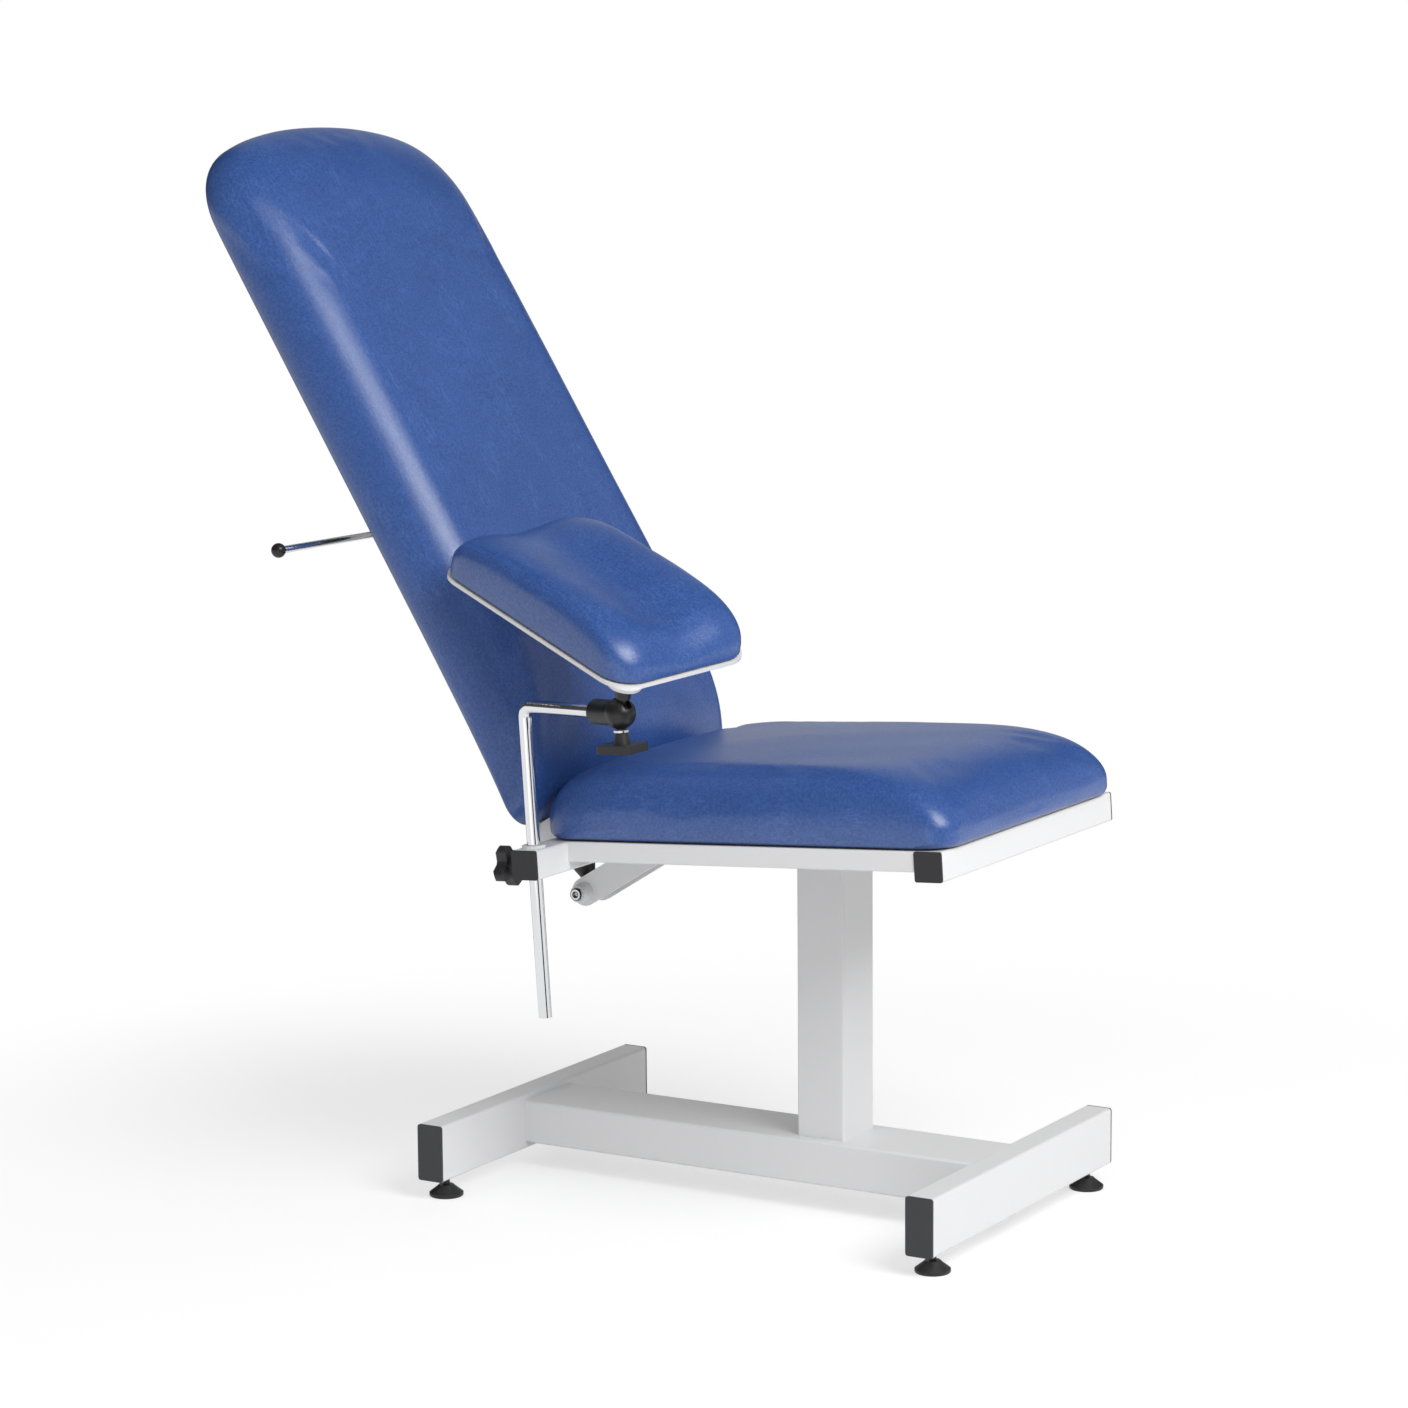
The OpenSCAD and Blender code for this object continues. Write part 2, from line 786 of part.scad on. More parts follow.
module hinge_pair() {
    on_seat() {
        translate([hinge_out_x, 0, 0]) hinge_plate();
        translate([hinge_in_x - hinge_plate_t, 0, 0]) hinge_plate();
    }
}

module left_hinge_plates() {
    color(white_paint) hinge_pair();
}

module right_hinge_plates() {
    color(white_paint) mirror([1, 0, 0]) hinge_pair();
}

module hinge_bolts() {
    color(bright_steel) each_side() on_seat()
        translate([hinge_in_x - hinge_plate_t - hinge_nut_h, hinge_seat[1], hinge_seat[2]])
            rotate([0, 90, 0]) {
                cylinder(d = hinge_bolt_d,
                    h = hinge_out_x - hinge_in_x + 2 * hinge_plate_t + hinge_nut_h);
                translate([0, 0, hinge_out_x - hinge_in_x + 2 * hinge_plate_t + hinge_nut_h])
                    hexagon(hinge_key, hinge_head_h);
            }
}

module hinge_nuts() {
    color(bright_steel) each_side() on_seat()
        translate([hinge_in_x - hinge_plate_t - hinge_nut_h, hinge_seat[1], hinge_seat[2]])
            rotate([0, 90, 0]) difference() {
                hexagon(hinge_key, hinge_nut_h);
                translate([0, 0, -over])
                    cylinder(r = hinge_bolt_d / 2 + running, h = hinge_nut_h + 2 * over);
            }
}

// Anchor cheeks: two plates from the rear crossbar, under the rear tube, to the lower pin
module anchor_cheek() {
    reach = (anchor_seat[1] - rear_crossbar_y) / cos(anchor_rise);
    translate([anchor_in, 0, 0]) rotate([90, 0, 90]) linear_extrude(anchor_t) difference() {
        translate([anchor_seat[1], anchor_seat[2]]) rotate(180 - anchor_rise) {
            circle(r = anchor_r);
            translate([0, -anchor_r]) square([reach, 2 * anchor_r]);
        }
        translate([frame_l, -bar_side / 2]) square([bar_side, bar_side], center = true);
        translate([frame_l, 0]) square([bar_side, bar_side / 2], center = true);
        translate([rear_crossbar_y - bar_side, -bar_side])
            square([bar_side + crossbar_w / 2, 2 * bar_side]);
        translate([rear_crossbar_y, -frame_wall]) square([frame_l, bar_side]);
    }
    translate([anchor_in + anchor_t, anchor_seat[1], anchor_seat[2]]) rotate([0, 90, 0])
        cylinder(d1 = anchor_boss_d, d2 = anchor_boss_d - anchor_t, h = anchor_boss);
}

module anchor_cheeks() {
    color(white_paint) difference() {
        each_side() on_seat() anchor_cheek();
        on_seat() translate(anchor_seat)
            shaft_x(anchor_bolt_d + 2 * running, 4 * (anchor_in + anchor_boss));
    }
}

module anchor_bolt() {
    end_x = anchor_in + anchor_t + anchor_boss;
    color(bright_steel) on_seat() translate(anchor_seat) {
        translate([-end_x, 0, 0]) rotate([0, 90, 0]) cylinder(d = anchor_bolt_d,
            h = 2 * end_x + anchor_nut_h);
        translate([-end_x - anchor_head_h, 0, 0]) rotate([0, 90, 0]) difference() {
            cylinder(d1 = anchor_head_d - anchor_t / 2, d2 = anchor_head_d, h = anchor_head_h);
            translate([0, 0, -over]) hexagon(anchor_head_d / 3, anchor_head_h / 2 + over);
        }
    }
}

module anchor_nut() {
    color(bright_steel) on_seat() translate(anchor_seat)
        translate([anchor_in + anchor_t + anchor_boss, 0, 0]) rotate([0, 90, 0]) difference() {
            hexagon(anchor_key, anchor_nut_h);
            translate([0, 0, -over])
                cylinder(r = anchor_bolt_d / 2 + running, h = anchor_nut_h + 2 * over);
        }
}

// Side tube of the back, bored at its foot for the hinge bush
module back_side_tube() {
    difference() {
        translate([0, hinge_below - back_tube_low + cap_t, -back_tube / 2]) rotate([-90, 0, 0])
            tube(back_l - back_tube_high + back_tube_low - hinge_below - 2 * cap_t,
                back_tube, back_tube, back_tube_wall, back_tube_r);
        translate([0, hinge_below, -back_tube / 2]) shaft_x(hinge_bush_d, back_tube + 2 * over);
    }
}

module right_back_tube() {
    color(white_paint) on_back() translate([-back_tube_x, 0, 0]) back_side_tube();
}

module left_back_tube() {
    color(white_paint) on_back() translate([back_tube_x, 0, 0]) back_side_tube();
}

module back_tube_caps() {
    color(black_plastic) on_back() for (x = [-1, 1]) translate([x * back_tube_x, 0, -back_tube / 2]) {
        translate([0, back_l - back_tube_high - cap_t, 0]) rotate([-90, 0, 0])
            tube_plug(back_tube, back_tube, back_tube_wall, back_tube_r);
        translate([0, hinge_below - back_tube_low, 0]) rotate([-90, 0, 0])
            linear_extrude(cap_t) rounded_rect(back_tube, back_tube, back_tube_r);
    }
}

module hinge_bushes() {
    color(bright_steel) on_back() for (x = [-1, 1])
        translate([x * back_tube_x, hinge_below, -back_tube / 2]) difference() {
            shaft_x(hinge_bush_d, back_tube);
            shaft_x(hinge_bolt_d + 2 * running, back_tube + 2 * over);
        }
}

module back_crossbar(up) {
    on_back() translate([0, up, -back_tube / 2])
        tube_x(back_crossbar_l, back_tube, back_tube, back_tube_wall, back_tube_r);
}

module lower_back_crossbar() {
    color(white_paint) back_crossbar(lower_crossbar_u);
}

module spring_crossbar() {
    color(white_paint) back_crossbar(spring_crossbar_u);
}

module upper_back_crossbar() {
    color(white_paint) back_crossbar(upper_crossbar_u);
}

// Ears that carry the spring's upper pin behind the back
module spring_ears() {
    ear_x = head_half_w + ear_gap;
    color(white_paint) on_back() difference() {
        for (x = [-1, 1]) translate([x * (ear_x + ear_t / 2), 0, 0]) rotate([0, 90, 0]) hull() {
            translate([spring_behind, spring_up, 0])
                cylinder(r = ear_r, h = ear_t, center = true, $fn = hull_fn);
            translate([back_tube + ear_t / 2, spring_crossbar_u, 0])
                cube([ear_t, ear_foot, ear_t], center = true);
        }
        translate([0, spring_up, -spring_behind])
            shaft_x(pin_d + 2 * running, 4 * (head_half_w + ear_t));
    }
}

module spring_top_pin() {
    half = head_half_w + ear_gap + ear_t;
    color(bright_steel) on_back() translate([0, spring_up, -spring_behind]) {
        shaft_x(pin_d, 2 * half);
        for (x = [-1, 1]) translate([x * (half + ear_t / 4), 0, 0])
            shaft_x(pin_d + ear_t, ear_t / 2);
    }
}

module back_board_shape(grow, h) {
    half = back_w / 2 - back_board_inset;
    length = back_l - 2 * back_board_inset;
    translate([0, back_l / 2, 0]) linear_extrude(h)
        rounded_rect(2 * half + 2 * grow, length + 2 * grow, back_board_r);
}

module back_board() {
    color(plywood) on_back() back_board_shape(0, back_board_t);
}

function back_fall(up) = back_round
    + (back_low_fall - back_round) * fade(up, 1.24 * back_low_reach)
    + (back_high_fall - back_round) * fade(back_l - up, 1.375 * back_high_reach);

function back_ring(turn) =
    let (in = 1 - cos(turn), top = back_t - back_crown)
    [for (p = arch_loop(back_w / 2 - back_round * in, back_low_reach * in,
            back_l - back_high_reach * in, back_corner_r - (back_round - back_edge_r) * in,
            back_top_r - back_round * in, back_foot_r - (back_foot_r - least_r) * in))
        [p[0], p[1], top - back_fall(p[1]) * (1 - sin(turn))]];

function back_crown_ring(share) =
    let (middle = (back_low_reach + back_l - back_high_reach) / 2)
    [for (p = back_ring(90))
        [p[0] * share, middle + (p[1] - middle) * share,
            back_t - back_crown + back_crown * (1 - share * share)]];

module back_form() {
    edges = [for (turn = [0:45:90])
        let (in = back_edge_r * (1 - sin(turn)))
        [for (p = arch_loop(back_w / 2 - in, in, back_l - in, back_corner_r - in,
                back_top_r - in, back_foot_r - in))
            [p[0], p[1], min(back_edge_r * (1 - cos(turn)),
                back_t - back_crown - back_fall(p[1]))]]];
    rolls = [for (turn = [11.25:11.25:90]) back_ring(turn)];
    crowns = [for (share = [0.75, 0.5, 0.25]) back_crown_ring(share)];
    middle = (back_low_reach + back_l - back_high_reach) / 2;
    ring_skin(concat(edges, rolls, crowns), [0, middle, 0], [0, middle, back_t]);
}

module back_cushion() {
    color(blue_leatherette) on_back() difference() {
        back_form();
        translate([0, 0, -over]) back_board_shape(pocket_gap, back_board_t + pocket_gap + over);
    }
}

// Gas spring: an eye on the lower pin, then a hollow cylinder with a guide at its mouth
module spring_cylinder() {
    eye_w = anchor_in - eye_gap;
    color(bright_steel) on_spring() difference() {
        union() {
            shaft_x(2 * eye_r, 2 * eye_w);
            cylinder(d = boot_low_d - 2 * frame_wall, h = boot_high);
            translate([0, 0, boot_high]) cylinder(d = cylinder_d, h = cylinder_top - boot_high);
        }
        shaft_x(anchor_bolt_d + 2 * running, 4 * eye_w);
        translate([0, 0, cylinder_floor])
            cylinder(d = cylinder_d - 2 * cylinder_wall,
                h = cylinder_top - cylinder_guide - cylinder_floor);
        translate([0, 0, cylinder_top - cylinder_guide - over])
            cylinder(r = spring_rod_d / 2 + running, h = cylinder_guide + 2 * over);
    }
}

// Flared boot over the foot of the cylinder
module spring_boot() {
    color(black_plastic) on_spring() difference() {
        union() {
            translate([0, 0, boot_low])
                cylinder(d1 = boot_low_d, d2 = boot_high_d, h = boot_high - boot_low);
            translate([0, 0, boot_high]) cylinder(d = boot_high_d, h = boot_lip);
        }
        cylinder(d = boot_low_d - 2 * frame_wall + 2 * cap_gap, h = boot_high);
        translate([0, 0, boot_high - cap_gap])
            cylinder(d = cylinder_d + 2 * cap_gap, h = boot_lip + over);
    }
}

module spring_rod() {
    bore_d = cylinder_d - 2 * cylinder_wall;
    color(bright_steel) on_spring() {
        translate([0, 0, spring_rod_low])
            cylinder(d = spring_rod_d, h = spring_l - head_low - spring_rod_low);
        translate([0, 0, spring_rod_low - piston_h])
            cylinder(d = bore_d - 2 * running, h = piston_h);
    }
}

// Release head: its eye has play on the upper pin, and its slot holds the lever's tongue
module release_head() {
    color(black_plastic) on_spring() translate([0, 0, spring_l]) difference() {
        translate([-head_half_w, pin_offset_y - head_half_y, -head_low])
            cube([2 * head_half_w, 2 * head_half_y, head_low + head_high]);
        translate([0, pin_offset_y, pin_offset_z])
            shaft_x(pin_d + 2 * pin_play, 4 * head_half_w);
        translate([-2 * head_half_w, -tongue_t / 2 - tongue_gap,
            head_lever_z - tongue_half_h - tongue_low_gap])
            cube([4 * head_half_w, tongue_t + 2 * tongue_gap, 2 * head_high]);
        translate([0, 0, head_lever_z]) rotate([90, 0, 0])
            cylinder(d = lever_pin_d + 2 * running, h = 4 * head_half_y, center = true);
    }
}

// Release lever: a round rod with a flat tongue and its pin in the head
module release_lever() {
    color(bright_steel) on_spring() translate([0, 0, spring_l + head_lever_z]) {
        translate([-lever_reach + seat_gap, 0, 0]) rotate([0, 90, 0])
            cylinder(d = lever_d, h = lever_reach - lever_start - seat_gap);
        translate([-lever_start - over, -tongue_t / 2, -tongue_half_h])
            cube([lever_start + over + tongue_half_h, tongue_t, 2 * tongue_half_h]);
        translate([0, pin_offset_y, 0]) rotate([90, 0, 0])
            cylinder(d = lever_pin_d, h = 2 * head_half_y, center = true);
    }
}

module release_ball() {
    color(black_plastic) on_spring() translate([-lever_reach, 0, spring_l + head_lever_z])
        rotate([0, 90, 0]) rotate_extrude() difference() {
            circle(d = lever_ball_d);
            translate([-lever_ball_d, -lever_ball_d / 2]) square(lever_ball_d);
            square([lever_d / 2 + running, lever_ball_d]);
        }
}

module right_arm_bush() {
    color(white_paint) on_seat() translate(arm_foot_seat) arm_bush();
}

// Arm rod: upright in the rear tube, then bent forward into the ball joint's socket
module arm_rod() {
    color(bright_steel) on_rod() {
        translate([0, 0, -arm_down])
            cylinder(d = arm_rod_d, h = arm_down + arm_up - arm_bend_r);
        translate([0, -arm_bend_r, arm_up - arm_bend_r]) rotate([90, 0, 90])
            rotate_extrude(angle = 90) translate([arm_bend_r, 0]) circle(d = arm_rod_d);
        translate([0, -arm_bend_r, arm_up]) rotate([90, 0, 0])
            cylinder(d = arm_rod_d, h = arm_l - arm_bend_r - socket_floor);
    }
}

// Ball joint housing: a round cup with a side socket and a clamp neck
module ball_housing() {
    slot_r = housing_d;
    slot_low = asin((stem_neck_d / 2 + bolt_gap) / (ball_d / 2));
    color(black_plastic) difference() {
        union() {
            on_ball() {
                sphere(d = housing_d);
                rotate([-90, 0, 0]) {
                    translate([0, 0, socket_start])
                        cylinder(d = socket_d, h = socket_end - socket_lip - socket_start);
                    translate([0, 0, socket_end - socket_lip])
                        cylinder(d1 = socket_d, d2 = socket_d - socket_lip, h = socket_lip);
                }
                translate([0, 0, -housing_d / 2 - clamp_ring_t / 4])
                    cylinder(d = clamp_neck_top_d - clamp_ring_t, h = housing_d / 4);
            }
        }
        on_ball() {
            sphere(r = ball_d / 2 + running);
            rotate([-90, 0, 0]) translate([0, 0, socket_floor])
                cylinder(r = arm_rod_d / 2 + running, h = socket_end);
            translate([0, 0, -housing_d]) cylinder(r = clamp_stud_d / 2 + running, h = housing_d);
        }
        on_pad() rotate([90, 0, 90]) linear_extrude(stem_neck_d + 2 * bolt_gap, center = true)
            polygon([[0, 0],
                [-slot_r * sin(stem_slot_back + slot_low), slot_r * cos(stem_slot_back + slot_low)],
                [-slot_r * sin(stem_slot_back), slot_r],
                [slot_r * sin(stem_slot_ahead), slot_r],
                [slot_r * sin(stem_slot_ahead + slot_low), slot_r * cos(stem_slot_ahead + slot_low)]]);
    }
}

module clamp_ring() {
    color(bright_steel) on_ball() translate([0, 0, -housing_d / 2 - clamp_ring_t / 4 - clamp_ring_t])
        difference() {
            cylinder(d = clamp_ring_d, h = clamp_ring_t);
            translate([0, 0, -over]) cylinder(r = clamp_stud_d / 2 + running, h = clamp_ring_t + 2 * over);
        }
}

// Ball with its neck, collar and spigot, in one piece
module ball_stem() {
    flange_low = pad_up - flange_t;
    color(black_plastic) on_pad() {
        sphere(d = ball_d);
        cylinder(d = stem_neck_d, h = collar_low + over);
        translate([0, 0, collar_low])
            cylinder(d1 = collar_low_d, d2 = collar_d, h = flange_low - collar_low);
        translate([0, 0, flange_low]) cylinder(d = spigot_d, h = flange_t);
    }
}

module pad_flange() {
    color(white_paint) on_pad() translate([0, 0, pad_up - flange_t]) difference() {
        cylinder(d1 = flange_d - flange_t, d2 = flange_d, h = flange_t);
        translate([0, 0, -over])
            cylinder(r = spigot_d / 2 + running, h = flange_t + 2 * over);
    }
}

// The pad's own plan: its stem stands inboard of the outer edge and the front end
module on_pad_plan() {
    on_pad() translate([pad_w / 2 - stem_inset, pad_l / 2 - stem_behind, pad_up]) children();
}

module pad_board() {
    color(white_paint) on_pad_plan() linear_extrude(pad_board_t)
        rounded_rect(pad_w, pad_l, pad_board_r);
}

// Height of the pad's top across its width: two ridges with a trough between
function pad_top(x) = let (ridge = pad_w / 2 - ridge_inset)
    abs(x) >= ridge ? pad_t : pad_t - trough_depth * (1 + cos(180 * x / ridge)) / 2;

function pad_fall(y) = pad_side_fall
    + (pad_near_fall - pad_side_fall) * fade(pad_l / 2 + y, 1.4 * pad_near_round)
    + (pad_far_fall - pad_side_fall) * fade(pad_l / 2 - y, 1.4 * pad_far_round);

function pad_loop(side, near, far, r) = rounded_loop(
    -pad_w / 2 + side, pad_w / 2 - side, -pad_l / 2 + near, pad_l / 2 - far,
    [r, r, r, r], 10, 8, 4);

function pad_ring(turn) =
    let (in = 1 - cos(turn))
    [for (p = pad_loop(pad_inset + (ridge_inset - pad_inset) * in,
            pad_inset + (pad_near_round - pad_inset) * in,
            pad_inset + (pad_far_round - pad_inset) * in,
            pad_corner_r - (pad_corner_r - least_r) * in))
        [p[0], p[1], pad_top(p[0]) * (1 - pad_fall(p[1]) / pad_t * (1 - sin(turn)))]];

function pad_inner_ring(share) =
    let (middle = (pad_near_round - pad_far_round) / 2)
    [for (p = pad_ring(90))
        [p[0] * share, middle + (p[1] - middle) * share, pad_top(p[0] * share)]];

module pad_form() {
    foot_rings = [for (step = [0, 1])
        let (drawn = pad_inset + pad_tuck * (1 - step))
        [for (p = pad_loop(drawn, drawn, drawn, pad_corner_r)) [p[0], p[1], pad_tuck * step]]];
    rolls = [for (turn = [0:11.25:90]) pad_ring(turn)];
    inner = [for (share = [0.8, 0.6, 0.4, 0.2]) pad_inner_ring(share)];
    middle = (pad_near_round - pad_far_round) / 2;
    ring_skin(concat(foot_rings, rolls, inner), [0, middle, 0], [0, middle, pad_top(0)]);
}

module pad_cushion() {
    color(blue_leatherette) on_pad_plan() translate([0, 0, pad_board_t + pad_line]) pad_form();
}

// Cross knob: four round lobes on a hub, with a stud that clamps the bush
module cross_knob() {
    lobe_at = cross_knob_d / 2 - knob_lobe_d / 2;
    stud_l = bar_side / 2 - bush_d / 2 - seat_gap;
    color(black_plastic) on_seat() translate(arm_foot_seat)
        translate([0, bar_side / 2 + knob_gap, -knob_drop]) rotate([-90, 0, 0]) {
            translate([0, 0, knob_hub_l]) intersection() {
                linear_extrude(knob_t) rotate(knob_turn) {
                    circle(d = knob_hub_d * 1.3);
                    for (turn = [0:90:270]) rotate(turn) {
                        translate([lobe_at, 0]) circle(d = knob_lobe_d);
                        polygon([[0, knob_hub_d / 2], [lobe_at, knob_lobe_d / 2],
                            [lobe_at, -knob_lobe_d / 2], [0, -knob_hub_d / 2]]);
                    }
                }
                rotate_extrude() polygon([[0, 0], [cross_knob_d / 2 - ball_knob_edge, 0],
                    [cross_knob_d / 2, ball_knob_edge], [cross_knob_d / 2, knob_t - 2 * ball_knob_edge],
                    [cross_knob_d / 2 - 2 * ball_knob_edge, knob_t - ball_knob_edge / 2],
                    [knob_hub_d / 2, knob_t], [0, knob_t]]);
            }
            cylinder(d1 = knob_hub_d * 0.8, d2 = knob_hub_d, h = knob_hub_l);
            translate([0, 0, -knob_gap - stud_l]) cylinder(d = knob_stud_d, h = stud_l + knob_gap);
        }
}

// Square knob under the ball joint, with its tapered neck and stud
module ball_knob() {
    top = housing_d / 2 + 5 * clamp_ring_t / 4 + seat_gap;
    half = ball_knob_side / 2;
    cut = ball_knob_chamfer;
    outline = [[half, half - cut], [half - cut, half], [cut - half, half], [-half, half - cut],
        [-half, cut - half], [cut - half, -half], [half - cut, -half], [half, cut - half]];
    color(black_plastic) on_ball() translate([0, 0, -top]) rotate([180, 0, 0]) {
        cylinder(d1 = clamp_neck_top_d, d2 = clamp_neck_d, h = clamp_neck_l);
        translate([0, 0, clamp_neck_l]) rotate(-arm_yaw) linear_extrude(ball_knob_t) polygon(outline);
        translate([0, 0, ball_d / 2 + seat_gap - top])
            cylinder(d = clamp_stud_d, h = top - ball_d / 2 - seat_gap);
    }
}

front_leg();
rear_leg();
leg_caps();
foot_nuts();
base_beam();
column();
column_head();
head_bolts();
head_nuts();
front_bar();
front_bar_caps();
right_rail();
left_rail();
front_crossbar();
middle_crossbar();
rear_crossbar();
rear_tube();
rear_tube_caps();
left_arm_bush();
seat_board();
seat_cushion();
right_hinge_plates();
left_hinge_plates();
hinge_bolts();
hinge_nuts();
anchor_cheeks();
anchor_bolt();
anchor_nut();
foot_front_right();
foot_front_left();
foot_rear_right();
foot_rear_left();
right_back_tube();
left_back_tube();
back_tube_caps();
hinge_bushes();
lower_back_crossbar();
spring_crossbar();
upper_back_crossbar();
spring_ears();
spring_top_pin();
back_board();
back_cushion();
spring_cylinder();
spring_boot();
spring_rod();
release_head();
release_lever();
release_ball();
right_arm_bush();
arm_rod();
ball_housing();
clamp_ring();
ball_stem();
pad_flange();
pad_board();
pad_cushion();
cross_knob();
ball_knob();
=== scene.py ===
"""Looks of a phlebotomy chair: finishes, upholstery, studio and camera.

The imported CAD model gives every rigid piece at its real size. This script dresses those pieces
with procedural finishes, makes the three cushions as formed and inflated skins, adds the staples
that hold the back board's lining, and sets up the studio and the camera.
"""

from __future__ import annotations

import logging
import math
from dataclasses import dataclass, fields
from enum import Enum
from functools import cached_property

import bpy
import numpy as np
from mathutils import Matrix, Vector

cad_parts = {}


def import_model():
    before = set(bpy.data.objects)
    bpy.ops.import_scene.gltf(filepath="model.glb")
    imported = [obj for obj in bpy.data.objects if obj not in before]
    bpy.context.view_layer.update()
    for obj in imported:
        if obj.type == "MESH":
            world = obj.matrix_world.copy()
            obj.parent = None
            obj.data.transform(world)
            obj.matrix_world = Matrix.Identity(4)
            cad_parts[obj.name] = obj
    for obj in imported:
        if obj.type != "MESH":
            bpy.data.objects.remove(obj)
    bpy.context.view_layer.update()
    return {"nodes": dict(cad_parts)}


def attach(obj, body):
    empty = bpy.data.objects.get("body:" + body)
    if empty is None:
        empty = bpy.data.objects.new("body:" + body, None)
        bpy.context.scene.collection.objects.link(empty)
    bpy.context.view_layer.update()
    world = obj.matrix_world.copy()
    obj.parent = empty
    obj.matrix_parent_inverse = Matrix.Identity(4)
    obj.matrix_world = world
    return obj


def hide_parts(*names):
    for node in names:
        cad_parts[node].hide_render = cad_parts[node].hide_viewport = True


log = logging.getLogger("phlebotomy_chair")

MM = 0.001

Rings = list[np.ndarray]
Point = tuple[float, float]
Place = tuple[float, float, float]
Colour = tuple[float, float, float]
Socket = bpy.types.NodeSocket
Tree = bpy.types.NodeTree


class Body(Enum):
    """Bodies of the chair that carry pieces made here."""

    FRAME = "frame"
    BACK = "back"
    PAD = "pad"


@dataclass(frozen=True)
class Places:
    """Where the chair's slanted parts stand, in millimetres and degrees."""

    bar_ahead: float = 386.1
    seat_height: float = 562.2
    seat_tilt: float = 3.67
    frame_length: float = 568.7
    hinge_behind: float = 67.3
    hinge_up: float = 14.0
    hinge_below: float = 2.4
    back_lean: float = 31.5
    back_tube: float = 25.0
    anchor_behind: float = 107.3
    anchor_drop: float = 113.0
    arm_out: float = 308.0
    arm_length: float = 202.0
    arm_yaw: float = 18.7
    arm_up: float = 192.5
    pad_yaw: float = 15.4
    pad_pitch: float = 19.5
    pad_roll: float = 5.8
    pad_up: float = 46.0

    def seat(self) -> Matrix:
        """Seat frame's own axes, from the middle of the front bar's top."""
        return Matrix.Translation((0, -self.bar_ahead, self.seat_height)) @ turn("X", -self.seat_tilt)

    def back(self) -> Matrix:
        """Back's own axes: X across, Y up the back and Z ahead of its board.

        Returns:
            The axes as a matrix.
        """
        hinge = Matrix.Translation((0, self.frame_length + self.hinge_behind, self.hinge_up))
        foot = Matrix.Translation((0, -self.hinge_below, self.back_tube / 2))
        return self.seat() @ hinge @ turn("X", 90 - self.back_lean + self.seat_tilt) @ foot

    def anchor(self) -> Vector:
        """Middle of the gas spring's lower pin."""
        return self.seat() @ Vector((0, self.frame_length + self.anchor_behind, -self.anchor_drop))

    def ball(self) -> Vector:
        """Middle of the arm's ball joint.

        Returns:
            The place in millimetres.
        """
        yaw = math.radians(self.arm_yaw)
        across = -self.arm_out - self.arm_length * math.sin(yaw)
        along = self.frame_length - self.arm_length * math.cos(yaw)
        return self.seat() @ Vector((across, along, self.arm_up))

    def pad(self) -> Matrix:
        """Pad's own axes, from the middle of the ball joint."""
        turns = turn("Z", -self.pad_yaw) @ turn("X", self.pad_pitch) @ turn("Y", -self.pad_roll)
        return Matrix.Translation(self.ball()) @ turns


def turn(axis: str, degrees: float) -> Matrix:
    """A rotation about one axis.

    Args:
        axis: The axis' letter.
        degrees: The angle, by the right-hand rule.

    Returns:
        The rotation as a 4 by 4 matrix.
    """
    return Matrix.Rotation(math.radians(degrees), 4, axis)


# Shader helpers


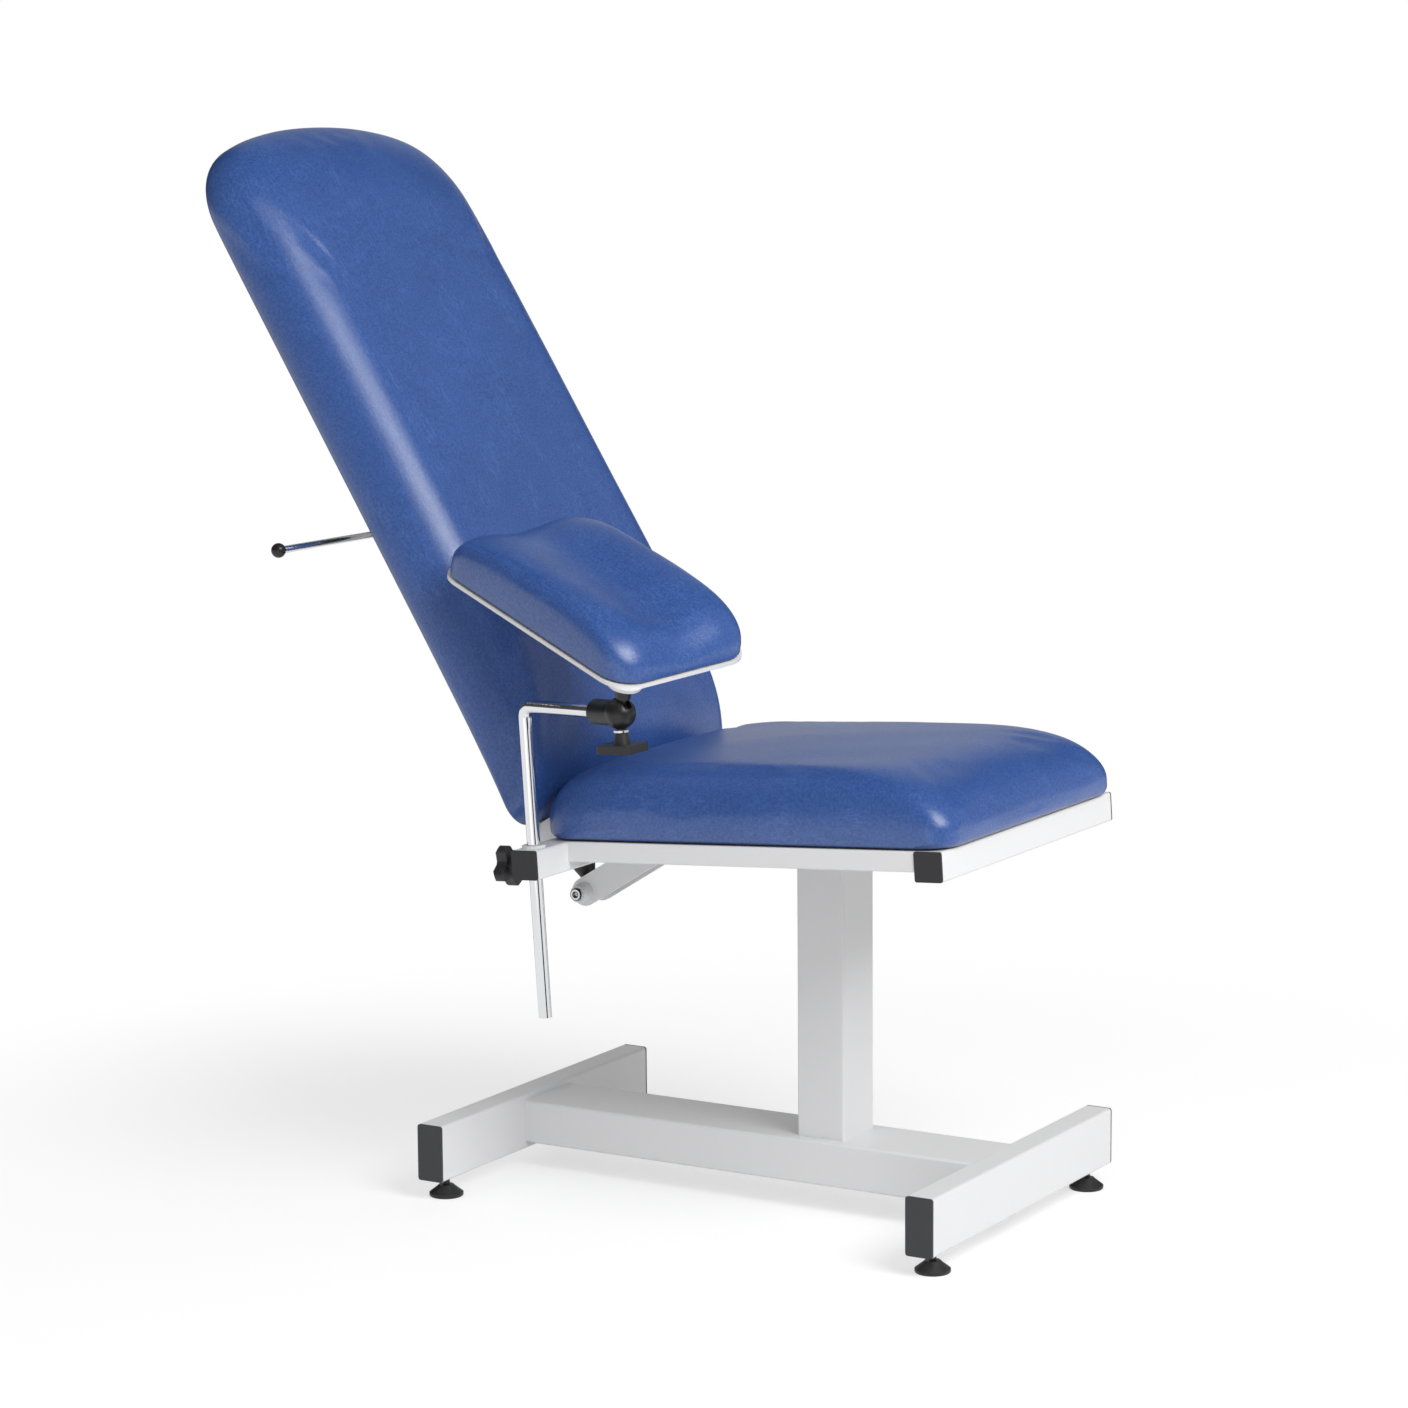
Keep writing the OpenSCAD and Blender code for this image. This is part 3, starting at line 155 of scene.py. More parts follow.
class Nodes:
    """A node tree with short calls for adding and joining nodes."""

    columns: int = 9
    step: Point = (180.0, -260.0)

    def __init__(self, tree: Tree) -> None:
        """Starts on an existing tree."""
        self.tree = tree
        self.count = 0

    def add(self, kind: str, **settings: object) -> bpy.types.Node:
        """Adds a node.

        Args:
            kind: The node's type name.
            settings: Properties by name, and values or sockets for its inputs under their names with
                underscores for spaces.

        Returns:
            The new node.
        """
        node = self.tree.nodes.new(kind)
        row, column = divmod(self.count, self.columns)
        node.location = (self.step[0] * column, self.step[1] * row)
        self.count += 1
        for name, value in settings.items():
            if hasattr(node, name):
                setattr(node, name, value)
            else:
                self.set(node, **{name: value})
        return node

    def set(self, node: bpy.types.Node, **inputs: object) -> None:
        """Feeds a node's inputs, under their names with underscores for spaces."""
        for name, value in inputs.items():
            self.feed(node.inputs[name.replace("_", " ")], value)

    def feed(self, target: Socket, value: object) -> None:
        """Joins a socket to an input, or gives the input a plain value.

        Args:
            target: The input.
            value: A socket, or a value of the input's kind.
        """
        if isinstance(value, Socket):
            self.join(value, target)
        else:
            target.default_value = value

    def join(self, source: Socket, target: Socket) -> None:
        """Links an output to an input."""
        self.tree.links.new(source, target)

    def group(self, tree: Tree, **inputs: object) -> bpy.types.Node:
        """Places a shader group and feeds its inputs."""
        return self.add("ShaderNodeGroup", node_tree=tree, **inputs)

    def math(self, operation: str, first: object, second: object = 0.0, clamp: bool = False) -> Socket:
        """Adds a Math node.

        Args:
            operation: The Math node's operation.
            first: A socket or a number.
            second: A socket or a number.
            clamp: Whether the result stays between 0 and 1.

        Returns:
            The node's output.
        """
        node = self.add("ShaderNodeMath", operation=operation, use_clamp=clamp)
        for slot, value in enumerate((first, second)):
            self.feed(node.inputs[slot], value)
        return node.outputs[0]

    def blend(self, share: Socket, low: object, high: object) -> Socket:
        """Mixes two colours.

        Args:
            share: Socket with the share of the second colour.
            low: Colour or socket at a share of 0.
            high: Colour or socket at a share of 1.

        Returns:
            The mixed colour.
        """
        node = self.add("ShaderNodeMix", data_type="RGBA", Factor=share)
        for slot, value in ((6, low), (7, high)):
            self.feed(node.inputs[slot], value if isinstance(value, Socket) else (*value, 1.0))
        return node.outputs[2]

    def pick(self, share: Socket, low: object, high: object) -> Socket:
        """Mixes two values by a share, each a socket or a number.

        Args:
            share: Socket with the share of the second value.
            low: Value at a share of 0.
            high: Value at a share of 1.

        Returns:
            The mixed value.
        """
        node = self.add("ShaderNodeMix", data_type="FLOAT", Factor=share)
        for slot, value in ((2, low), (3, high)):
            self.feed(node.inputs[slot], value)
        return node.outputs[0]

    def noise(self, place: Socket, scale: object, detail: float, roughness: float = 0.5) -> Socket:
        """Adds a noise texture.

        Args:
            place: Coordinates it is read at.
            scale: Its scale per metre, as a number or a socket.
            detail: Its octaves.
            roughness: How strong each finer octave is.

        Returns:
            The noise value, about 0 to 1.
        """
        return self.add("ShaderNodeTexNoise", Vector=place, Scale=scale, Detail=detail,
                        Roughness=roughness).outputs["Fac"]

    def spread(self, value: Socket, low: float, high: float) -> Socket:
        """Maps a value from 0..1 to a range."""
        return self.add("ShaderNodeMapRange", Value=value, To_Min=low, To_Max=high).outputs["Result"]

    def split(self, vector: Socket) -> dict[str, Socket]:
        """Splits a vector into its X, Y and Z."""
        return dict(self.add("ShaderNodeSeparateXYZ", Vector=vector).outputs.items())


@dataclass(frozen=True)
class HideGrain:
    """Sizes of the covers' hide grain, with scales per metre."""

    drift_scale: float = 60.0
    drift: float = 0.004
    pebble_height: float = 1.6
    mottle_scale: float = 300.0
    mottle_roughness: float = 0.7
    mottle_height: float = 0.9
    hair_squeeze: float = 0.16
    hair_sharpness: float = 28.0
    patch_scale: float = 17.0
    patch_floor: float = 0.47
    patch_gain: float = 6.0
    slow_scale: float = 7.0
    slow_roughness: float = 0.6
    slow_share: float = 0.15


class GroupKit:
    """Shader groups that several finishes share, each built once."""

    cards: tuple[Point, ...] = ((-121.0, 12.0), (0.0, 15.0), (60.0, 15.0))
    card_sharpness: float = 120.0
    dust_share: Point = (0.2, 1.0)

    def _start(self, name: str, inputs: dict[str, float], outputs: tuple[str, ...],
               vectors: tuple[str, ...] = ()) -> Nodes:
        """Makes an empty group with its float and vector sockets.

        Args:
            name: The group's name.
            inputs: Float inputs with their values at first.
            outputs: Float outputs.
            vectors: Vector inputs.

        Returns:
            The group's nodes.
        """
        tree = bpy.data.node_groups.new(name, "ShaderNodeTree")
        for label in vectors:
            tree.interface.new_socket(label, in_out="INPUT", socket_type="NodeSocketVector")
        for label, value in inputs.items():
            socket = tree.interface.new_socket(label, in_out="INPUT", socket_type="NodeSocketFloat")
            socket.default_value = value
        for label in outputs:
            tree.interface.new_socket(label, in_out="OUTPUT", socket_type="NodeSocketFloat")
        return Nodes(tree)

    @cached_property
    def hide_grain(self) -> Tree:
        """Pebbled hide grain in the cover's own coordinates, with fine hairlines and uneven tone.

        Returns:
            The group.
        """
        kit = self._start("Hide grain", {"Cells": 500.0, "Hairs": 150.0}, ("Height", "Tone", "Hairline"))
        start, size = kit.add("NodeGroupInput").outputs, HideGrain()
        own = kit.add("ShaderNodeAttribute", attribute_name="own").outputs["Vector"]
        drift = kit.noise(own, size.drift_scale, 2.0).node.outputs["Color"]
        bend = kit.add("ShaderNodeVectorMath", operation="SCALE", Vector=drift, Scale=size.drift)
        bent = kit.add("ShaderNodeVectorMath", operation="ADD", Vector=own)
        kit.join(bend.outputs[0], bent.inputs[1])
        cells = kit.add("ShaderNodeTexVoronoi", feature="DISTANCE_TO_EDGE", Vector=bent.outputs[0],
                        Scale=start["Cells"])
        pebble = kit.spread(cells.outputs["Distance"], 0.0, size.pebble_height)
        mottle = kit.noise(own, size.mottle_scale, 4.0, size.mottle_roughness)
        height = kit.math("ADD", pebble, kit.math("MULTIPLY", mottle, size.mottle_height))
        drawn = kit.add("ShaderNodeVectorMath", operation="MULTIPLY", Vector=bent.outputs[0])
        drawn.inputs[1].default_value = (1.0, size.hair_squeeze, 1.0)
        hairs = kit.noise(drawn.outputs[0], start["Hairs"], 2.0)
        off = kit.math("ABSOLUTE", kit.math("SUBTRACT", hairs, 0.5))
        line = kit.math("SUBTRACT", 1.0, kit.math("MULTIPLY", off, size.hair_sharpness), clamp=True)
        over = kit.math("SUBTRACT", kit.noise(own, size.patch_scale, 2.0), size.patch_floor)
        patch = kit.math("MULTIPLY", over, size.patch_gain, clamp=True)
        slow = kit.noise(own, size.slow_scale, 4.0, size.slow_roughness)
        tone = kit.math("ADD", kit.math("MULTIPLY", slow, size.slow_share),
                        kit.math("MULTIPLY", mottle, 1 - size.slow_share))
        kit.add("NodeGroupOutput", Height=height, Tone=tone, Hairline=kit.math("MULTIPLY", line, patch))
        return kit.tree

    @cached_property
    def coat_texture(self) -> Tree:
        """Fine uneven skin of a coat or moulding, with slow tone changes and faint dust.

        Returns:
            The group.
        """
        kit = self._start("Coat texture", {"Size": 700.0, "Tone size": 6.0}, ("Height", "Tone", "Dust"))
        start = kit.add("NodeGroupInput").outputs
        place = kit.add("ShaderNodeTexCoord").outputs["Object"]
        peel = kit.noise(place, start["Size"], 3.0)
        slow = kit.noise(place, start["Tone size"], 3.0, 0.6)
        upward = kit.math("MAXIMUM", kit.split(kit.add("ShaderNodeNewGeometry").outputs["Normal"])["Z"], 0.0)
        dust = kit.math("MULTIPLY", upward, kit.spread(slow, *self.dust_share))
        kit.add("NodeGroupOutput", Height=peel, Tone=slow, Dust=dust)
        return kit.tree

    @cached_property
    def flags(self) -> Tree:
        """Dark cards round the studio, as a mask over directions or places on the floor.

        Returns:
            The group.
        """
        kit = self._start("Studio flags", {}, ("Dark",), ("Place",))
        place = kit.split(kit.add("NodeGroupInput").outputs["Place"])
        azimuth = kit.math("ARCTAN2", place["Y"], place["X"])
        dark: object = 0.0
        for middle, half in self.cards:
            near = kit.math("COSINE", kit.math("SUBTRACT", azimuth, math.radians(middle)))
            inside = kit.math("SUBTRACT", near, math.cos(math.radians(half)))
            card = kit.math("MULTIPLY", inside, self.card_sharpness, clamp=True)
            dark = kit.math("MAXIMUM", dark, card)
        kit.add("NodeGroupOutput", Dark=dark)
        return kit.tree


GROUPS = GroupKit()


@dataclass(frozen=True)
class Finish:
    """A surface finish that makes its own material."""

    name: str

    def open(self) -> tuple[bpy.types.Material, Nodes, bpy.types.Node]:
        """Makes a material to work on.

        Returns:
            The material, its nodes and its shader.
        """
        material = bpy.data.materials.new(self.name)
        material.use_nodes = True
        return material, Nodes(material.node_tree), material.node_tree.nodes["Principled BSDF"]

    def bump(self, nodes: Nodes, shader: bpy.types.Node, height: Socket, depth_mm: float,
             soft_mm: float = 0.0) -> None:
        """Feeds a height to the shader's normal.

        Args:
            nodes: The material's nodes.
            shader: The Principled shader.
            height: Height socket, about 0 to 1.
            depth_mm: Depth of the relief in millimetres.
            soft_mm: Radius by which hard edges catch the light.
        """
        bump = nodes.add("ShaderNodeBump", Strength=1.0, Distance=depth_mm * MM, Height=height)
        if soft_mm:
            edge = nodes.add("ShaderNodeBevel", samples=4, Radius=soft_mm * MM)
            nodes.join(edge.outputs["Normal"], bump.inputs["Normal"])
        nodes.join(bump.outputs["Normal"], shader.inputs["Normal"])

    def material(self) -> bpy.types.Material:
        """Builds the material."""
        raise NotImplementedError


@dataclass(frozen=True)
class Leatherette(Finish):
    """Coated upholstery cloth with a fine pebbled grain."""

    light: Colour = (0.046, 0.118, 0.375)
    dark: Colour = (0.022, 0.068, 0.250)
    hair: Colour = (0.075, 0.165, 0.46)
    # Painted shade: near-black navy drawn along the lowest band of each cushion, where the cover tucks
    # under.
    seam: Colour = (0.004, 0.007, 0.022)
    cells: float = 480.0
    hairs: float = 150.0
    hair_share: float = 0.6
    tone_range: Point = (-1.6, 2.6)
    rough_range: Point = (0.37, 0.28)
    gloss: float = 0.75
    relief_mm: float = 0.14

    def material(self) -> bpy.types.Material:
        """Builds the leatherette; a point attribute from the cushion paints shade, near black, along its
        lower tucked edge.

        Returns:
            The material.
        """
        material, nodes, shader = self.open()
        grain = nodes.group(GROUPS.hide_grain, Cells=self.cells, Hairs=self.hairs).outputs
        base = nodes.blend(nodes.spread(grain["Tone"], *self.tone_range), self.dark, self.light)
        haired = nodes.blend(nodes.math("MULTIPLY", grain["Hairline"], self.hair_share), base, self.hair)
        # Painted shade mask from the cushion: 1 along the lowest band of the skin, where the cover tucks
        # under.
        seam = nodes.add("ShaderNodeAttribute", attribute_name="seam").outputs["Fac"]
        nodes.set(shader, Base_Color=nodes.blend(seam, haired, self.seam),
                  Roughness=nodes.spread(grain["Height"], *self.rough_range),
                  Specular_IOR_Level=self.gloss)
        self.bump(nodes, shader, grain["Height"], self.relief_mm)
        return material


@dataclass(frozen=True)
class PowderCoat(Finish):
    """Baked powder paint with a faint orange peel."""

    paint: Colour = (0.80, 0.80, 0.808)
    shade: Colour = (0.772, 0.774, 0.784)
    dust: Colour = (0.72, 0.71, 0.69)
    dust_share: float = 0.1
    peel_size: float = 420.0
    tone_size: float = 5.0
    rough_range: Point = (0.29, 0.42)
    relief_mm: float = 0.035
    edge_mm: float = 0.7

    def material(self) -> bpy.types.Material:
        """Builds the paint.

        Returns:
            The material.
        """
        material, nodes, shader = self.open()
        skin = nodes.group(GROUPS.coat_texture, Size=self.peel_size, Tone_size=self.tone_size).outputs
        paint = nodes.blend(skin["Tone"], self.shade, self.paint)
        dusted = nodes.blend(nodes.math("MULTIPLY", skin["Dust"], self.dust_share), paint, self.dust)
        nodes.set(shader, Base_Color=dusted, Roughness=nodes.spread(skin["Tone"], *self.rough_range))
        self.bump(nodes, shader, skin["Height"], self.relief_mm, self.edge_mm)
        return material


@dataclass(frozen=True)
class Plastic(Finish):
    """Moulded plastic with a fine spark-eroded skin."""

    body: Colour = (0.008, 0.008, 0.009)
    worn: Colour = (0.013, 0.013, 0.014)
    roughness: float = 0.34
    relief_mm: float = 0.05
    dust: Colour = (0.3, 0.3, 0.29)
    dust_share: float = 0.06
    spark_size: float = 1500.0
    tone_size: float = 22.0
    smoother: float = 0.08
    rougher: float = 0.12
    edge_mm: float = 0.6

    def material(self) -> bpy.types.Material:
        """Builds the plastic.

        Returns:
            The material.
        """
        material, nodes, shader = self.open()
        skin = nodes.group(GROUPS.coat_texture, Size=self.spark_size, Tone_size=self.tone_size).outputs
        tone = nodes.blend(skin["Tone"], self.body, self.worn)
        dusted = nodes.blend(nodes.math("MULTIPLY", skin["Dust"], self.dust_share), tone, self.dust)
        rough = nodes.spread(skin["Height"], self.roughness - self.smoother, self.roughness + self.rougher)
        nodes.set(shader, Base_Color=dusted, Roughness=rough)
        self.bump(nodes, shader, skin["Height"], self.relief_mm, self.edge_mm)
        return material


@dataclass(frozen=True)
class Metal(Finish):
    """Bare or plated metal, polished or brushed."""

    tint: Colour = (0.80, 0.81, 0.83)
    film: Colour = (0.70, 0.71, 0.73)
    roughness: float = 0.07
    relief_mm: float = 0.004
    grain_size: float = 160.0
    tone_size: float = 14.0
    smoother: float = 0.7
    rougher: float = 1.5
    edge_mm: float = 0.4

    def material(self) -> bpy.types.Material:
        """Builds the metal.

        Returns:
            The material.
        """
        material, nodes, shader = self.open()
        skin = nodes.group(GROUPS.coat_texture, Size=self.grain_size, Tone_size=self.tone_size).outputs
        plain = nodes.blend(skin["Tone"], self.film, self.tint)
        rough = nodes.spread(skin["Tone"], self.roughness * self.smoother, self.roughness * self.rougher)
        nodes.set(shader, Base_Color=self.marked(nodes, plain), Roughness=rough, Metallic=1.0)
        self.bump(nodes, shader, skin["Height"], self.relief_mm, self.edge_mm)
        return material

    def marked(self, nodes: Nodes, plain: Socket) -> Socket:
        """The metal's colour with its tool marks, drawn as painted shade; plain metal has none."""
        return plain


@dataclass(frozen=True)
class TurnedMetal(Metal):
    """Metal faced on a lathe, with painted shade in rings round an axis along X where its grooves are."""

    axis_y: float = 0.0
    axis_z: float = 0.0
    pitch_mm: float = 4.2
    # Painted shade: near-black rings that stand in for the lathe grooves, which have no relief of their own.
    groove_shade: Colour = (0.05, 0.05, 0.055)
    groove_shade_from: float = 0.15
    groove_shade_sharpness: float = 3.0

    def marked(self, nodes: Nodes, plain: Socket) -> Socket:
        """Paints shade in rings round the axis, where the lathe grooves are.

        Args:
            nodes: The material's nodes.
            plain: The metal's colour.

        Returns:
            The colour with painted shade in its grooves.
        """
        place = nodes.split(nodes.add("ShaderNodeTexCoord").outputs["Object"])
        across, up = (nodes.math("POWER", nodes.math("SUBTRACT", place[letter], middle), 2.0)
                      for letter, middle in (("Y", self.axis_y), ("Z", self.axis_z)))
        radius = nodes.math("SQRT", nodes.math("ADD", across, up))
        wave = nodes.math("COSINE", nodes.math("MULTIPLY", radius, math.tau / (self.pitch_mm * MM)))
        # Painted shade mask: rings round the axis that get the groove colour.
        ring = nodes.math("MULTIPLY", nodes.math("SUBTRACT", wave, self.groove_shade_from),
                          self.groove_shade_sharpness, clamp=True)
        return nodes.blend(ring, plain, self.groove_shade)


@dataclass(frozen=True)
class Lining(Finish):
    """Thin black dust cloth, pressed into small dimples, over a board."""

    cloth: Colour = (0.020, 0.020, 0.022)
    fluff: Colour = (0.045, 0.045, 0.048)
    fluff_size: float = 900.0
    dimple_size: float = 620.0
    unevenness: float = 0.15
    rough_range: Point = (0.8, 0.98)
    sheen: float = 0.2
    relief_mm: float = 0.25

    def material(self) -> bpy.types.Material:
        """Builds the lining.

        Returns:
            The material.
        """
        material, nodes, shader = self.open()
        place = nodes.add("ShaderNodeTexCoord").outputs["Object"]
        dimples = nodes.add("ShaderNodeTexVoronoi", feature="F1", Vector=place, Scale=self.dimple_size,
                            Randomness=self.unevenness)
        fluff = nodes.noise(place, self.fluff_size, 5.0, 0.7)
        nodes.set(shader, Base_Color=nodes.blend(fluff, self.cloth, self.fluff),
                  Roughness=nodes.spread(fluff, *self.rough_range), Sheen_Weight=self.sheen)
        self.bump(nodes, shader, dimples.outputs["Distance"], self.relief_mm)
        return material


class Finishes:
    """The chair's finishes, each made once."""

    def __init__(self, places: Places) -> None:
        """Makes every material.

        Args:
            places: The chair's places, for the bolt with turned rings.
        """
        bolt = places.anchor() * MM
        self.leatherette = Leatherette("Blue leatherette").material()
        self.paint = PowderCoat("White powder coat").material()
        self.plastic = Plastic("Black plastic").material()
        self.cap_plastic = Plastic("Charcoal plastic", (0.036, 0.037, 0.043), (0.046, 0.047, 0.053),
                                   0.48).material()
        self.plug_plastic = Plastic("Dark plug plastic", (0.019, 0.019, 0.022), (0.026, 0.026, 0.029),
                                    0.44).material()
        self.knob_plastic = Plastic("Glass filled plastic", (0.018, 0.018, 0.018), (0.028, 0.028, 0.027),
                                    0.42, 0.09).material()
        self.foot_plastic = Plastic("Foot plastic", (0.010, 0.010, 0.011), (0.018, 0.018, 0.018),
                                    0.42).material()
        self.chrome = Metal("Chrome plate").material()
        self.zinc = Metal("Zinc plate", (0.62, 0.62, 0.60), (0.50, 0.51, 0.52), 0.24, 0.012).material()
        self.steel = Metal("Bright steel", (0.72, 0.73, 0.75), (0.60, 0.61, 0.63), 0.16, 0.006).material()
        self.turned = TurnedMetal("Turned steel", (0.72, 0.73, 0.75), (0.60, 0.61, 0.63), 0.2, 0.006,
                                  axis_y=bolt.y, axis_z=bolt.z).material()
        self.lining = Lining("Black lining").material()


# Loops and rings that the cushions are built from


def arc(centre: Point, radius: float, start: float, stop: float, steps: int) -> np.ndarray:
    """Points of an arc.

    Args:
        centre: Its middle.
        radius: Its radius.
        start: First angle in degrees.
        stop: Last angle in degrees.
        steps: Number of steps; one more point than steps comes back.

    Returns:
        An array of points.
    """
    angles = np.radians(np.linspace(start, stop, steps + 1))
    return np.column_stack((centre[0] + radius * np.cos(angles), centre[1] + radius * np.sin(angles)))


def between(first: Point, last: Point, steps: int) -> np.ndarray:
    """Evenly spaced points between two places, without the places themselves."""
    shares = np.linspace(0, 1, steps + 1)[1:-1, None]
    return np.array(first) + (np.array(last) - np.array(first)) * shares


def rounded_loop(low: Point, high: Point, radius: float, steps: tuple[int, int, int]) -> np.ndarray:
    """A rounded rectangle, anticlockwise.

    Args:
        low: Its lowest corner.
        high: Its highest corner.
        radius: Radius of its corners.
        steps: Steps along X, along Y and round a corner.

    Returns:
        The loop's points.
    """
    (x0, y0), (x1, y1), (nx, ny, na) = low, high, steps
    return np.vstack((
        between((x0 + radius, y0), (x1 - radius, y0), nx),
        arc((x1 - radius, y0 + radius), radius, -90, 0, na),
        between((x1, y0 + radius), (x1, y1 - radius), ny),
        arc((x1 - radius, y1 - radius), radius, 0, 90, na),
        between((x1 - radius, y1), (x0 + radius, y1), nx),
        arc((x0 + radius, y1 - radius), radius, 90, 180, na),
        between((x0, y1 - radius), (x0, y0 + radius), ny),
        arc((x0 + radius, y0 + radius), radius, 180, 270, na),
    ))


def arch_loop(half: float, low: float, high: float, shoulder: float, top: float, foot: float) -> np.ndarray:
    """The back's outline: straight sides under a flat arch with round shoulders.

    Args:
        half: Half its width.
        low: Its lower end.
        high: The arch's crown.
        shoulder: Radius of the shoulders.
        top: Radius of the flat arch.
        foot: Radius of the lower corners.

    Returns:
        The loop's points, anticlockwise.
    """
    across, along, round_foot, round_shoulder, over = 26, 46, 8, 14, 24
    rise = math.sqrt((top - shoulder) ** 2 - (half - shoulder) ** 2)
    shoulder_y = high - top + rise
    lean = math.degrees(math.atan2(rise, half - shoulder))
    return np.vstack((
        between((-half + foot, low), (half - foot, low), across),
        arc((half - foot, low + foot), foot, -90, 0, round_foot),
        between((half, low + foot), (half, shoulder_y), along),
        arc((half - shoulder, shoulder_y), shoulder, 0, lean, round_shoulder),
        arc((0, high - top), top, lean, 180 - lean, over)[1:-1],
        arc((-half + shoulder, shoulder_y), shoulder, 180 - lean, 180, round_shoulder),
        between((-half, shoulder_y), (-half, low + foot), along),
        arc((-half + foot, low + foot), foot, 180, 270, round_foot),
    ))


def fade(distance: np.ndarray, reach: float) -> np.ndarray:
    """Share of an edge's fall that is left at a distance from that edge."""
    return np.clip(1 - np.maximum(distance, 0) / reach, 0, 1) ** 2


def raise_loop(loop: np.ndarray, height: np.ndarray | float) -> np.ndarray:
    """A plan loop lifted to a height, which may change along it."""
    return np.column_stack((loop, np.broadcast_to(height, len(loop))))


def ramp(first: np.ndarray, last: np.ndarray, steps: int) -> Rings:
    """Rings between two rings, without the two themselves."""
    return [first + (last - first) * step / steps for step in range(1, steps)]


def quarter(degrees: float) -> Point:
    """Shares drawn in and still to rise, part way round a quarter circle that starts upright."""
    angle = math.radians(degrees)
    return 1 - math.cos(angle), 1 - math.sin(angle)


def grown(value: np.ndarray, start: float, reach: float) -> np.ndarray:
    """Share from 0 to 1 that grows from a start over a reach."""
    return np.clip((value - start) / reach, 0, 1)


@dataclass(frozen=True)
class Waves:
    """Soft waves of a pulled cover: crossed ones, and slanted ones over them, in millimetres."""

    height: float
    length: Point
    phase: Point
    slant_height: float = 0.0
    slant_length: Point = (1.0, 1.0)

    def over(self, x: np.ndarray, y: np.ndarray) -> np.ndarray:
        """Height of the waves at places in plan.

        Args:
            x: Places across.
            y: Places along.

        Returns:
            The heights in millimetres.
        """
        crossed = self.height * np.sin(x / self.length[0] + self.phase[0])
        crossed = crossed * np.sin(y / self.length[1] + self.phase[1])
        return crossed + self.slant_height * np.sin(x / self.slant_length[0] + y / self.slant_length[1])


